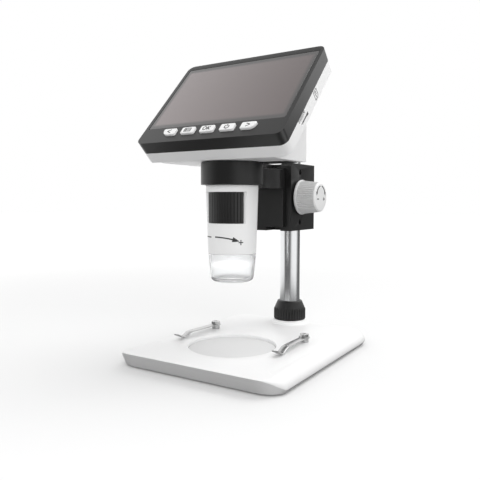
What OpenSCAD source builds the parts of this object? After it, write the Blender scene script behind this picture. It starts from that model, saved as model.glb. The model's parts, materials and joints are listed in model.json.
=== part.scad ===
// Digital microscope with its own tilted screen, on a rack-and-pinion table stand.
// Millimetres. X to the right, Y to the back, Z up.
// The origin is the centre of the base, on the plane that the feet stand on.

/* [Base] */
// Width of the base plate, side to side
base_w = 124; // [110:1:150]
// Length of the base plate, front to back
base_l = 158; // [150:1:190]
// Height of the base's top along its front edge
base_h = 10.5; // [9:0.5:11]
// Height of the flat middle of the base, which is slightly crowned
base_top = 11.5; // [11.5:0.5:13]
// How far the rounded side and back edges run inwards
edge_run = 11; // [4:0.5:14]
// Height of the plain upright wall under the rounded edge
edge_wall_h = 2.5; // [1.5:0.5:4]
// How far the foot of the front wall lies behind its top edge
front_lean = 5.3; // [0:0.1:8]
// Thickness of the moulded base shell
base_wall = 2.2; // [1.6:0.1:3]
// Radius of the round well that takes the stage disc
well_r = 30; // [24:0.5:34]
// Depth of the stage disc's top below the middle of the base
well_depth = 2; // [0.5:0.1:3]

/* [Pole] */
// Distance of the pole behind the middle of the base
pole_y = 57.8; // [52:0.1:62]
// Radius of the pole
pole_r = 8; // [6:0.1:10]
// Height of the pole's top end
pole_top = 153; // [150:1:190]
// Radius of the lock nut at its ribbed foot
nut_r = 12.7; // [12:0.1:16]
// Height of the lock nut
nut_h = 15; // [12:0.5:20]

/* [Stage clips] */
// Distance of each clip screw from the middle
clip_x = 37.7; // [35:0.1:42]
// Place of the clip screws, front to back
clip_y = 7.2; // [4:0.1:12]
// Width of the spring strip
clip_w = 5; // [4:0.1:7]
// Thickness of the spring strip
clip_t = 0.8; // [0.5:0.1:1.2]

/* [Slide box] */
// Width of the slide box
box_w = 30; // [26:0.5:36]
// Front face of the slide box
box_front = 29.8; // [28:0.1:31]
// Back face of the slide box
box_back = 70; // [69:0.5:74]
// Underside of the slide box
box_z0 = 87; // [84:0.5:90]
// Top of the slide box
box_z1 = 137.6; // [136:0.1:138]
// Distance of the knob's axis behind the middle of the base
knob_y = 44; // [43.6:0.1:44.2]
// Height of the knob's axis
knob_z = 112.3; // [111:0.1:114]
// Pitch radius of the pinion on the knob's shaft
pinion_r = 3.5; // [3.5:0.1:3.5]
// Number of teeth on the pinion
pinion_teeth = 14; // [14:1:14]

/* [Holder] */
// Width of the plate that slides on the box
plate_w = 20; // [18:0.5:22]
// Front face of the sliding plate
plate_front = 26.3; // [25:0.1:27]
// Outer radius of the holder ring
ring_r = 20.85; // [20.5:0.05:23]
// Underside of the holder ring
ring_z0 = 120.2; // [120.2:0.1:120.5]
// Top of the holder ring
ring_z1 = 134.5; // [133:0.1:134.5]

/* [Microscope barrel] */
// Place of the optical axis, front to back
axis_y = -27; // [-29:0.1:-25]
// Radius of the barrel's top part, which turns in the ring
seat_r = 18.5; // [18.5:0.1:18.5]
// Radius of the focus barrel at its top
barrel_r_top = 17.6; // [17.2:0.1:18]
// Radius of the focus barrel at its foot
barrel_r_foot = 16.2; // [16:0.1:17]
// Height of the focus barrel's foot, where the clear tip begins
tip_z1 = 74.5; // [73:0.1:75]
// Height of the clear tip's lower end
tip_z0 = 55.7; // [54:0.1:60]

/* [Screen unit] */
// Width of the screen frame
frame_w = 110; // [108:0.5:120]
// Height of the screen frame along its sloping face
frame_h = 86.6; // [85:0.1:90]
// Tilt of the screen above the horizontal
tilt = 46; // [44:0.5:48]
// Depth of the dark front frame
frame_d = 8.85; // [8:0.05:10]
// Depth of the pale rim behind the frame
rim_d = 8.2; // [8:0.1:9]
// Corner radius of the frame
corner_r = 5; // [4.5:0.1:6]
// Half width of the housing behind the screen
wedge_half = 43.5; // [38:0.5:46]
// Back wall of the housing
wedge_back = -2; // [-4:0.5:0]
// Wall thickness of the frame and the housing
shell_t = 2; // [1.6:0.1:2.2]

/* [Hidden] */
$fn = 72;

eps = 0.01;

// Base
base_floor = 0.5;              // underside of the shell, above the feet's soles
plate_top = 2;                 // top of the closing plate
front_corner_r = 15;
back_corner_r = 20;
slices = 8;                    // steps in the rounded edge
crown_inset = 20;              // how far the flat middle lies inside the outline
disc_t = 2.2;                  // thickness of the stage disc
boss_r = 13;
boss_top = 14.5;
collet_r = 10.4;
collet_top = 27.5;
socket_floor = 3;              // where the pole stands inside the base
foot_r = 6;
foot_pos = [[-48, -60], [48, -60], [-48, 62], [48, 62]];
screw_pos = [[-44, -44], [44, -44], [-44, 44], [44, 44]];

// Clips
spacer_top = 14.3;
clip_contact_z = 11.9;
clip_reach = [31, 38.6, 45.5]; // bend, contact line and tip, forward of the screw
clip_rise = [0.5, 3.2];        // bend above the strip, tip above the contact line

// Slide
liner_r = 8.7;
fit = 0.05;                    // running clearance on a radius
pitch = 2 * PI * pinion_r / pinion_teeth;
tooth_h = 1.0;                 // whole tooth height
tooth_root = 0.78;             // tooth width at its foot
tooth_tip = 0.34;              // tooth width at its top
rack_face = knob_y - pinion_r - 0.6;  // root line of the rack
plate_z0 = 90;
plate_z1 = 134;
plate_back = box_front - 0.2;
rail_w = 12;
rail_back = 37.5;
cover_t = 3;                   // thickness of the box's left cover
box_screw_y = 44.6;
box_screw_z = [93, 131];
shaft_r = 2;
bush_r = 3.2;
knob_x0 = 16;
knob_x1 = 31.1;
cap_x1 = 32.7;
arm_z0 = 118.5;
arm_z1 = 132.6;
arm_screw_z = [122, 129];

// Barrel
neck_r = 14;
neck_bore = 12.6;
neck_z0 = 80;
barrel_z1 = 120;
shelf_z = 126;                 // where the sensor board sits
tip_round = 4;                 // radius of the clear tip's lower edge
grip_z0 = 94.8;
grip_z1 = 115.3;
grip_from = -50;               // degrees, from the front towards the right
grip_to = 66;
grip_floor_r = 15.2;            // floor of the grip window
carrier_r = neck_bore - 0.06;
carrier_z0 = 90;
carrier_z1 = 110;
pin_z = 98;
lens_travel = 6;
led_count = 8;
barrel_screws_at = [90, 210, 330]; // degrees about the optical axis
barrel_screw_r = 16.5;

// Screen unit: its own frame has x across, y up the sloping face, z out of the face
lcd_y = -60.6;
lcd_z = 147.3;
shell_back = frame_d + rim_d;
window_u0 = 14.5;
window_u1 = 81.5;
window_half = 52;
button_u = 8.7;
button_pitch = 15;
button_w = 10.3;
button_h = 5.7;
button_proud = 1.5;
button_x = [for (i = [-2:2]) i * button_pitch];
wedge_floor = 135;
wedge_round = 3;                // radius of the housing's back and lower edges
board_n = 11;                  // depth of the main board behind the face
board_t = 1.4;
frame_screws = [[-47, 6.5], [47, 6.5]]; // across and up the face
card_u = [23, 34];             // memory card, up the face
card_n = [12.9, 13.9];         // and behind it
socket_u = [36.3, 43.7];       // charging socket
dimmer_u = 26.5;
dimmer_r = 6.5;
dimmer_x = frame_w / 2 + 0.7 - dimmer_r;

// ---------- helpers ----------

// Rounded rectangle centred on the origin
module rounded_rect(w, h, r) {
    square([w - 2 * r, h], center = true);
    square([w, h - 2 * r], center = true);
    for (sx = [-1, 1], sy = [-1, 1])
        translate([sx * (w / 2 - r), sy * (h / 2 - r)]) circle(r);
}

// Cylinder and tube between two heights
module cylinder_between(r, z0, z1) { translate([0, 0, z0]) cylinder(r = r, h = z1 - z0); }
module tube(r_out, r_in, z0, z1) {
    translate([0, 0, z0]) difference() {
        cylinder(r = r_out, h = z1 - z0);
        translate([0, 0, -1]) cylinder(r = r_in, h = z1 - z0 + 2);
    }
}

// Ribbed disc outline: ribs stand from r_in to r_out
function rib_outline(n, r_in, r_out) = [for (i = [0:4 * n - 1])
    let (a = 90 * i / n, r = (i % 4 < 2) ? r_out : r_in) [r * cos(a), r * sin(a)]];

// Pie slice between two angles that are measured from the front towards the right
module front_slice(from, to, r, z0, z1) {
    steps = 12;
    translate([0, 0, z0]) linear_extrude(z1 - z0)
        polygon(concat([[0, 0]], [for (i = [0:steps])
            let (a = from + (to - from) * i / steps) [r * sin(a), -r * cos(a)]]));
}

// Screw along +Z: pan head on top at z = 0, shank below
module pan_screw(head_r, head_h, shank_r, shank_l) {
    difference() {
        cylinder(r = head_r, h = head_h);
        for (a = [0, 90]) rotate([0, 0, a])
            translate([-head_r * 0.6, -0.3, head_h - 0.6]) cube([head_r * 1.2, 0.6, 1]);
    }
    translate([0, 0, -shank_l]) cylinder(r = shank_r, h = shank_l + eps);
}

module on_axis() { translate([0, axis_y, 0]) children(); }
module on_pole() { translate([0, pole_y, 0]) children(); }
module on_knob() { translate([0, knob_y, knob_z]) rotate([0, 90, 0]) children(); }
module on_screen() { translate([0, lcd_y, lcd_z]) rotate([tilt, 0, 0]) children(); }

// Block on the screen: across x0 to x1, up the face u0 to u1, behind the face n0 to n1
module screen_block(x0, x1, u0, u1, n0, n1) {
    translate([x0, u0, -n1]) cube([x1 - x0, u1 - u0, n1 - n0]);
}

// Plan of the screen frame, made smaller by cut, between two depths
module screen_slab(cut, n0, n1) {
    translate([0, frame_h / 2, -n1]) linear_extrude(n1 - n0)
        rounded_rect(frame_w - 2 * cut, frame_h - 2 * cut, corner_r - cut);
}

// ---------- base ----------

// Solid form of the base, made smaller by cut all round and on top
module base_form(cut, z0) {
    rise = base_h - edge_wall_h;
    angles = [for (i = [0:slices]) 90 * i / slices];
    levels = concat([[z0, 0]], [for (t = angles)
        [edge_wall_h + rise * sin(t) - cut, edge_run * (1 - cos(t))]],
        [[base_top - cut, crown_inset]]);
    hull() for (level = levels) {
        inset = level[1] + cut;
        half = base_w / 2 - inset;
        y_front = -base_l / 2 + cut + (level[1] == crown_inset ? crown_inset
            : front_lean * (1 - (level[0] + cut) / base_h));
        y_back = base_l / 2 - inset;
        rf = max(front_corner_r - inset, 3);
        rb = max(back_corner_r - inset, 3);
        z = level[0] == z0 ? z0 : level[0] - eps;
        for (s = [-1, 1]) {
            translate([s * (half - rf), y_front + rf, z])
                cylinder(r = rf, h = eps, $fn = 32);
            translate([s * (half - rb), y_back - rb, z])
                cylinder(r = rb, h = eps, $fn = 32);
        }
    }
}

module base_shell() {
    color("whitesmoke") difference() {
        union() {
            difference() {
                base_form(0, base_floor);
                base_form(base_wall, base_floor - 1);
            }
            on_pole() cylinder_between(boss_r, plate_top, boss_top);
            on_axis()
                cylinder_between(well_r + base_wall, base_top - well_depth - disc_t - 2, base_top - 0.5);
            for (p = screw_pos) translate(p) cylinder_between(4, plate_top, base_top - 1);
            for (s = [-1, 1]) translate([s * clip_x, clip_y])
                cylinder_between(4, plate_top + 2, base_top - 1);
        }
        on_pole() cylinder_between(collet_r + 0.6, socket_floor + 1.5, boss_top + 1);
        on_pole() cylinder_between(pole_r + fit, socket_floor, boss_top);
        on_axis() cylinder_between(well_r, base_top - well_depth - disc_t, base_top + 5);
        for (p = screw_pos) translate(p) cylinder_between(1.2, plate_top - 1, base_top - 4);
        for (s = [-1, 1]) translate([s * clip_x, clip_y]) cylinder_between(1.5, 4.5, base_top + 1);
    }
}

module base_plate() {
    color("gainsboro") difference() {
        translate([0, 0, base_floor]) linear_extrude(plate_top - base_floor) hull()
            for (s = [-1, 1]) {
                inset = base_wall + 0.3;
                y_low = -base_l / 2 + front_lean + inset + front_corner_r;
                translate([s * (base_w / 2 - inset - front_corner_r), y_low])
                    circle(front_corner_r, $fn = 32);
                translate([s * (base_w / 2 - inset - back_corner_r), base_l / 2 - inset - back_corner_r])
                    circle(back_corner_r, $fn = 32);
            }
        for (p = foot_pos) translate(p) cylinder_between(foot_r + 0.1, 0, base_floor + 0.8);
        for (p = screw_pos) translate(p) cylinder_between(1.5, 0, plate_top + 1);
        for (p = screw_pos) translate(p) cylinder_between(2.9, 0, base_floor + 0.8);
    }
}

module base_feet() {
    color("dimgray") for (p = foot_pos) translate(p) cylinder_between(foot_r, 0, base_floor + 0.8);
}

module base_screws() {
    color("silver") for (p = screw_pos) translate([p[0], p[1], base_floor + 0.8])
        rotate([180, 0, 0]) pan_screw(2.7, 0.7, 1.15, 6);
}

module stage_disc() {
    color("lightgray") on_axis()
        cylinder_between(well_r - 0.15, base_top - well_depth - disc_t, base_top - well_depth);
}

// ---------- pole ----------

// Split clamping sleeve that the lock nut closes on the pole
module pole_collet() {
    color("white") on_pole() difference() {
        union() {
            tube(collet_r + 0.55, pole_r + 0.03, socket_floor + 1.5, boss_top);
            tube(collet_r, pole_r + 0.03, boss_top - eps, collet_top);
        }
        for (a = [45, 135]) rotate([0, 0, a])
            translate([-20, -0.5, boss_top + 2]) cube([40, 1, 20]);
    }
}

module pole_nut() {
    z0 = boss_top + 0.1;
    rib_top = z0 + nut_h * 0.6;
    color([0.12, 0.12, 0.13]) on_pole() difference() {
        union() {
            translate([0, 0, z0]) linear_extrude(rib_top - z0) polygon(rib_outline(36, nut_r - 0.5, nut_r));
            translate([0, 0, rib_top - eps]) rotate_extrude() polygon([[0, 0], [nut_r - 0.7, 0],
                [nut_r - 1.0, 1.6], [pole_r + 2.2, nut_h * 0.32], [pole_r + 1.6, nut_h * 0.4],
                [0, nut_h * 0.4]]);
        }
        cylinder_between(collet_r + fit, z0 - 1, collet_top + 0.3);
        cylinder_between(pole_r + 0.35, z0, z0 + nut_h + 1);
    }
}

module pole_tube() {
    color("silver") on_pole() tube(pole_r, pole_r - 1.5, socket_floor, pole_top);
}

module pole_cap() {
    color([0.12, 0.12, 0.13]) on_pole() {
        cylinder_between(pole_r - 1.55, pole_top - 10, pole_top);
        translate([0, 0, pole_top]) rotate_extrude()
            polygon([[0, 0], [pole_r, 0], [pole_r, 1.2], [pole_r - 1, 2.2], [0, 2.2]]);
    }
}

// ---------- stage clips ----------

// Side view of a clip's spring strip, running forwards from its screw
function clip_line() = [
    [5, spacer_top],
    [-4, spacer_top],
    [-clip_reach[0], spacer_top + clip_rise[0]],
    [-clip_reach[1], clip_contact_z],
    [-clip_reach[2], clip_contact_z + clip_rise[1]]];

module stage_clip(side) {
    line = clip_line();
    upper = [for (p = line) [p[0], p[1] + clip_t]];
    // The forward end leans outwards a little
    lean = 2.2;
    color("silver") translate([side * clip_x, clip_y, 0]) difference() {
        union() {
            rotate([0, 0, side * lean]) rotate([90, 0, 90]) translate([0, 0, -clip_w / 2])
                linear_extrude(clip_w) polygon(concat(line, [for (i = [len(line) - 1:-1:0]) upper[i]]));
            cylinder_between(4, spacer_top, spacer_top + clip_t);
        }
        cylinder_between(1.55, 10, 20);
    }
}
module clip_left() { stage_clip(-1); }
module clip_right() { stage_clip(1); }

module clip_spacers() {
    color("silver") for (s = [-1, 1]) translate([s * clip_x, clip_y, 0])
        tube(3, 1.6, base_top, spacer_top);
}

module clip_screws() {
    color("silver") for (s = [-1, 1]) translate([s * clip_x, clip_y, spacer_top + clip_t])
        pan_screw(3.2, 2, 1.5, spacer_top + clip_t - 4.6);
}

// ---------- slide box on the pole ----------

module pole_liner() {
    color("ivory") on_pole() tube(liner_r, pole_r + fit, box_z0 + 1.5, box_z1 - 1.5);
}

// Body of the slide box between two places across; its top front edge is bevelled, so that the
// corners of the screen unit pass above it when the microscope turns in its ring
module box_form(x0, x1) {
    bevel = [1.5, 2.2];
    translate([x0, 0, 0]) rotate([90, 0, 90]) linear_extrude(x1 - x0)
        polygon([[box_front, box_z0], [box_back, box_z0], [box_back, box_z1],
            [box_front + bevel[0], box_z1], [box_front, box_z1 - bevel[1]]]);
}

module slide_box() {
    color([0.13, 0.13, 0.14]) difference() {
        box_form(-box_w / 2 + cover_t, box_w / 2);
        // bore for the liner, with a lip that keeps it at each end
        on_pole() cylinder_between(liner_r + fit, box_z0 + 1.3, box_z1 - 1.3);
        on_pole() cylinder_between(pole_r + 0.4, box_z0 - 1, box_z1 + 1);
        // channel for the rail and the rack
        translate([-rail_w / 2 - 0.1, box_front - 1, box_z0 - 1])
            cube([rail_w + 0.2, rack_face + tooth_h + 1.8 - box_front, box_z1 - box_z0 + 2]);
        // room for the pinion
        on_knob() cylinder_between(pinion_r + 0.75, -5, 5);
        // shaft and its bushes
        on_knob() cylinder_between(bush_r + 0.02, -box_w, box_w);
        // recessed cover screws
        for (z = box_screw_z) translate([0, box_screw_y, z]) rotate([0, 90, 0]) {
            cylinder_between(1.3, -box_w / 2, box_w / 2 - 5);
            cylinder_between(1.9, box_w / 2 - 5, box_w / 2 + 1);
            translate([-1.6, 0, 0]) cylinder_between(1, box_w / 2 - 5, box_w / 2 + 1);
        }
    }
}

module box_cover() {
    color([0.13, 0.13, 0.14]) difference() {
        box_form(-box_w / 2, -box_w / 2 + cover_t);
        on_knob() cylinder_between(bush_r + 0.02, -box_w, 0);
        for (z = box_screw_z) translate([0, box_screw_y, z]) rotate([0, 90, 0])
            cylinder_between(1.25, -box_w / 2 + 0.8, 0);
    }
}

module box_screws() {
    color("dimgray") for (z = box_screw_z) translate([box_w / 2 - 5, box_screw_y, z])
        rotate([0, 90, 0]) pan_screw(1.85, 1.3, 1.2, box_w - 6.5);
}

module shaft_bushes() {
    color("goldenrod") on_knob() {
        tube(bush_r, shaft_r + fit, -box_w / 2 + 0.6, -6);
        tube(bush_r, shaft_r + fit, 6, box_w / 2);
    }
}

module pinion_shaft() {
    color("silver") on_knob() cylinder_between(shaft_r, -box_w / 2 + 0.9, knob_x1 - 1);
}

module tooth(root, tip, h) {
    polygon([[-root / 2, -0.3], [root / 2, -0.3], [root / 2, 0], [tip / 2, h], [-tip / 2, h],
        [-root / 2, 0]]);
}

module pinion_gear() {
    root_r = pinion_r - 0.6;
    // seen along +X after the turn below, the plane's first axis points down
    color("goldenrod") on_knob() difference() {
        translate([0, 0, -4]) linear_extrude(8) union() {
            circle(root_r);
            for (i = [0:pinion_teeth - 1]) rotate(180 + 360 * i / pinion_teeth)
                translate([0, root_r]) tooth(tooth_root, tooth_tip, tooth_h);
        }
        cylinder_between(shaft_r, -6, 6);
    }
}

module focus_knob() {
    color("lightgray") on_knob() difference() {
        union() {
            cylinder_between(13.2, knob_x0 + 0.2, knob_x0 + 1.8);
            translate([0, 0, knob_x0 + 1.7]) linear_extrude(knob_x1 - knob_x0 - 1.7, scale = 0.89)
                polygon(rib_outline(44, 12.1, 12.5));
        }
        cylinder_between(shaft_r, knob_x0 - 1, knob_x1 + 1);
    }
}

module knob_cap() {
    color("white") on_knob() translate([0, 0, knob_x1]) rotate_extrude()
        polygon([[0, 0], [10.9, 0], [10.6, cap_x1 - knob_x1 - 0.9], [10.2, cap_x1 - knob_x1 - 0.3],
            [9.6, cap_x1 - knob_x1], [0, cap_x1 - knob_x1]]);
}

// ---------- holder on the rack ----------

module slide_plate() {
    color([0.12, 0.12, 0.13]) difference() {
        union() {
            translate([-plate_w / 2, plate_front, plate_z0])
                cube([plate_w, plate_back - plate_front, plate_z1 - plate_z0]);
            translate([-rail_w / 2, plate_back - eps, plate_z0])
                cube([rail_w, rail_back - plate_back + eps, plate_z1 - plate_z0]);
        }
        for (z = arm_screw_z) translate([0, 0, z]) rotate([-90, 0, 0]) {
            cylinder_between(1.5, 20, rail_back + 1);
            cylinder_between(2.8, 32, rail_back + 1);
        }
    }
}

module rack_bar() {
    color("goldenrod") {
        translate([-3, rail_back, plate_z0]) cube([6, rack_face - rail_back, plate_z1 - plate_z0]);
        first = ceil((plate_z0 + 0.6 - knob_z) / pitch - 0.5);
        last = floor((plate_z1 - 0.6 - knob_z) / pitch - 0.5);
        for (i = [first:last])
            translate([-3, rack_face, knob_z + (i + 0.5) * pitch]) rotate([90, 0, 90])
                linear_extrude(6) rotate(-90) tooth(tooth_root, tooth_tip, tooth_h);
    }
}

module holder_arm() {
    color([0.14, 0.14, 0.15]) difference() {
        union() {
            on_axis() cylinder_between(ring_r, ring_z0, ring_z1);
            // arm: waisted bar from the ring to the sliding plate
            translate([0, 0, arm_z0]) linear_extrude(arm_z1 - arm_z0) difference() {
                translate([-plate_w / 2, axis_y + seat_r]) square([plate_w, plate_front - axis_y - seat_r]);
                for (s = [-1, 1]) translate([s * (7.5 + 30), 9]) circle(30);
            }
        }
        on_axis() cylinder_between(seat_r + fit, arm_z0 - 1, ring_z1 + 1);
        for (z = arm_screw_z) translate([0, 0, z]) rotate([-90, 0, 0]) cylinder_between(1.3, 14, 30);
    }
}

module arm_screws() {
    color("silver") for (z = arm_screw_z) translate([0, 32, z])
        rotate([-90, 0, 0]) pan_screw(2.6, 1.8, 1.25, 16);
}

// ---------- microscope barrel ----------

module upper_barrel() {
    color([0.12, 0.12, 0.13]) on_axis() difference() {
        union() {
            cylinder_between(seat_r, barrel_z1 + 0.4, wedge_floor);
            cylinder_between(neck_r, neck_z0, barrel_z1 + 1);
        }
        cylinder_between(neck_bore, neck_z0 - 1, shelf_z);
        cylinder_between(14.5, shelf_z, wedge_floor + 1);
        // upright slots that keep the lens carrier from turning
        for (a = [0, 180]) rotate([0, 0, a])
            translate([neck_bore - 2, -1.1, pin_z - lens_travel - 1.4])
                cube([4, 2.2, 2 * lens_travel + 2.8]);
        for (a = barrel_screws_at) rotate([0, 0, a]) translate([barrel_screw_r, 0, 0])
            cylinder_between(0.9, wedge_floor - 8, wedge_floor + 1);
    }
}

module barrel_screws() {
    color("silver") on_axis() for (a = barrel_screws_at) rotate([0, 0, a])
        translate([barrel_screw_r, 0, wedge_floor + shell_t]) pan_screw(1.9, 1.3, 0.85, 8);
}

module sensor_board() {
    color("darkgreen") on_axis() cylinder_between(13.8, shelf_z, shelf_z + 1.4);
}

module image_sensor() {
    color([0.2, 0.2, 0.22]) on_axis() translate([-4.5, -4, shelf_z - 1.6]) cube([9, 8, 1.6]);
}

module led_board() {
    color("white") on_axis() tube(13.5, 6.5, neck_z0 - 1.3, neck_z0);
}

module led_lamps() {
    color("lightyellow") on_axis() for (i = [0:led_count - 1]) rotate([0, 0, 360 * i / led_count])
        translate([10, 0, 0]) {
            cylinder_between(1.5, neck_z0 - 2.9, neck_z0 - 1.3);
            translate([0, 0, neck_z0 - 2.9]) sphere(1.2);
        }
}

module focus_barrel() {
    color("white") on_axis() difference() {
        translate([0, 0, tip_z1]) cylinder(r1 = barrel_r_foot, r2 = barrel_r_top, h = barrel_z1 - tip_z1);
        cylinder_between(neck_r + fit, neck_z0 - 0.4, barrel_z1 + 1);
        cylinder_between(14.2, tip_z1 - 1, neck_z0);
        difference() {
            front_slice(grip_from, grip_to, 30, grip_z0, grip_z1);
            cylinder_between(grip_floor_r, grip_z0 - 1, grip_z1 + 1);
        }
    }
}

// Dark ribbed panel in the focus barrel: a curved strip whose outer edge is a row of ribs
module grip_insert() {
    a0 = grip_from + 0.5;
    a1 = grip_to - 0.5;
    ribs = 24;
    step = (a1 - a0) / ribs;
    back_r = grip_floor_r + 0.08;
    top_r = grip_floor_r + 1.15;
    outer = [for (i = [0:ribs - 1], k = [0, 0.25, 0.5, 0.75])
        let (a = a0 + (i + k) * step, r = (k < 0.5) ? top_r : top_r - 0.4) [r * sin(a), -r * cos(a)]];
    inner = [for (i = [0:ribs]) let (a = a1 - i * step) [back_r * sin(a), -back_r * cos(a)]];
    color([0.1, 0.1, 0.11]) on_axis() translate([0, 0, grip_z0 + 0.1])
        linear_extrude(grip_z1 - grip_z0 - 0.2) polygon(concat(outer, inner));
}

// Clear hood on the barrel's foot, open below, with a large round at its lower edge
module clear_tip() {
    wall = 1.7;
    r_low = barrel_r_foot - 1.45;
    function corner(r) = [for (a = [270:10:360])
        [r_low - tip_round + r * cos(a), tip_z0 + tip_round + r * sin(a)]];
    inner = corner(tip_round - wall);
    color([0.85, 0.9, 0.92, 0.4]) on_axis() rotate_extrude() polygon(concat(
        corner(tip_round),
        [[barrel_r_foot, tip_z1 - 0.05], [14.1, tip_z1 - 0.05], [14.1, tip_z1 + 3.6],
         [12.6, tip_z1 + 3.6], [12.6, tip_z1 + 1], [barrel_r_foot - wall, tip_z1 - 3]],
        [for (i = [9:-1:0]) inner[i]]));
}

module lens_carrier() {
    color([0.15, 0.15, 0.16]) on_axis() difference() {
        cylinder_between(carrier_r, carrier_z0, carrier_z1);
        cylinder_between(5, carrier_z0 - 1, carrier_z1 + 1);
        cylinder_between(7, carrier_z0 - 1, carrier_z0 + 3);
        cylinder_between(6, carrier_z0 + 2, carrier_z0 + 9);
        cylinder_between(7, carrier_z1 - 4, carrier_z1 + 1);
        for (a = [0, 180]) rotate([0, 0, a]) translate([0, 0, pin_z]) rotate([0, 90, 0])
            cylinder_between(1, 8, carrier_r + 1);
    }
}

module focus_pins() {
    color("silver") on_axis() for (a = [0, 180]) rotate([0, 0, a])
        translate([0, 0, pin_z]) rotate([0, 90, 0]) cylinder_between(1, 8, neck_r - 0.1);
}

// Lens: a disc whose upper and lower faces bulge by dome; its rim reaches edge above and below
module lens(r, edge, dome) {
    steps = 8;
    half = [for (i = [0:steps]) let (x = r * i / steps) [x, edge + dome * (1 - pow(x / r, 2))]];
    rotate_extrude() polygon(concat(half, [for (i = [steps:-1:0]) [half[i][0], -half[i][1]]]));
}

module front_lens() {
    color("lightcyan") on_axis() translate([0, 0, carrier_z0 + 1.8]) lens(6.95, 0.6, 0.5);
}

module middle_lens() {
    color("lightcyan") on_axis() translate([0, 0, carrier_z0 + 7.6]) lens(5.95, 0.6, 0.5);
}

module rear_lens() {
    color("lightcyan") on_axis() translate([0, 0, carrier_z1 - 2]) lens(6.95, 0.6, 0.5);
}

// ---------- screen unit ----------

module front_frame() {
    color([0.2, 0.2, 0.21]) on_screen() difference() {
        union() {
            difference() {
                screen_slab(0, 0, frame_d);
                screen_slab(shell_t, 1.6, frame_d + 1);
            }
            for (p = frame_screws) translate(p) cylinder_between(3, -frame_d, -1);
        }
        // rebate for the window and the opening under it
        screen_block(-window_half - 0.15, window_half + 0.15, window_u0 - 0.15, window_u1 + 0.15, -1, 1.2);
        screen_block(-window_half + 1.5, window_half - 1.5, window_u0 + 1.5, window_u1 - 1.5, -1, 3);
        for (i = [0:4]) translate([button_x[i], button_u, -3]) linear_extrude(6) button_plan(i, 0.25);
        for (p = frame_screws) translate(p) cylinder_between(1, -frame_d - 1, -3);
    }
}

module window_glass() {
    color([0.35, 0.33, 0.33, 0.6]) on_screen()
        screen_block(-window_half, window_half, window_u0, window_u1, 0.15, 1.15);
}

module lcd_panel() {
    color([0.5, 0.48, 0.48]) on_screen() screen_block(-52.75, 52.75, 14.4, 81.6, 1.65, 4.6);
}

// Button outline; the two end buttons have one large rounded lower outer corner
module button_plan(i, grow) {
    w = button_w + 2 * grow;
    h = button_h + 2 * grow;
    r = 1 + grow;
    big = 4.2 + grow;
    outer = i == 0 ? -1 : 1;
    if (i == 0 || i == 4) {
        difference() {
            rounded_rect(w, h, r);
            translate([outer * w / 2 - (outer > 0 ? big : 0), -h / 2]) square(big);
        }
        intersection() {
            translate([outer * (w / 2 - big), -h / 2 + big]) circle(big);
            translate([-w / 2, -h / 2]) square([w, h]);
        }
    } else {
        rounded_rect(w, h, r);
    }
}

module button(i) {
    color("white") on_screen() translate([button_x[i], button_u, 0]) {
        translate([0, 0, -2]) linear_extrude(2 + button_proud) button_plan(i, 0);
        translate([0, 0, -2.6]) linear_extrude(0.8) rounded_rect(button_w + 1.6, button_h + 1.4, 1);
        cylinder_between(1.2, -3.3, -2);
    }
}
module button_left() { button(0); }
module button_menu() { button(1); }
module button_ok() { button(2); }
module button_power() { button(3); }
module button_right() { button(4); }

module button_board() {
    color("darkgreen") on_screen() screen_block(-38, 38, 3.5, 13.5, 5, 6.2);
}

module dome_switches() {
    color("silver") on_screen() for (x = button_x)
        translate([x, button_u, 0]) cylinder_between(2.6, -5, -3.95);
}

// Side view of the housing behind the screen, y across and z up, made smaller by cut
module wedge_side(cut) {
    n = shell_back;
    foot = [lcd_y + n * sin(tilt), lcd_z - n * cos(tilt)];
    y_back = wedge_back - cut;
    z_floor = wedge_floor + cut;
    r = wedge_round - cut;
    top_z = foot[1] + (y_back - foot[0]) * tan(tilt);
    into = 3 + cut;               // overlaps the rim, so that the two are one
    polygon(concat(
        [[foot[0] + cut * 1.5 - into * sin(tilt) + 0.8, foot[1] + cut + into * cos(tilt) + 0.8],
         [foot[0] + cut * 1.5, foot[1] + cut],
         [foot[0] + 4 + cut, z_floor]],
        [for (a = [-90:10:0]) [y_back - r + r * cos(a), z_floor + r + r * sin(a)]],
        [[y_back, top_z], [y_back - into * sin(tilt), top_z + into * cos(tilt)]]));
}

module wedge_form(cut) {
    half = wedge_half - cut;
    r = wedge_round - cut;
    intersection() {
        rotate([90, 0, 90]) translate([0, 0, -half]) linear_extrude(2 * half) wedge_side(cut);
        translate([0, wedge_back - cut - 100, 100]) linear_extrude(120) {
            translate([-half, 0]) square([2 * half, 100 - r]);
            translate([-half + r, 0]) square([2 * (half - r), 100]);
            for (s = [-1, 1]) translate([s * (half - r), 100 - r]) circle(r);
        }
    }
}

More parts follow.
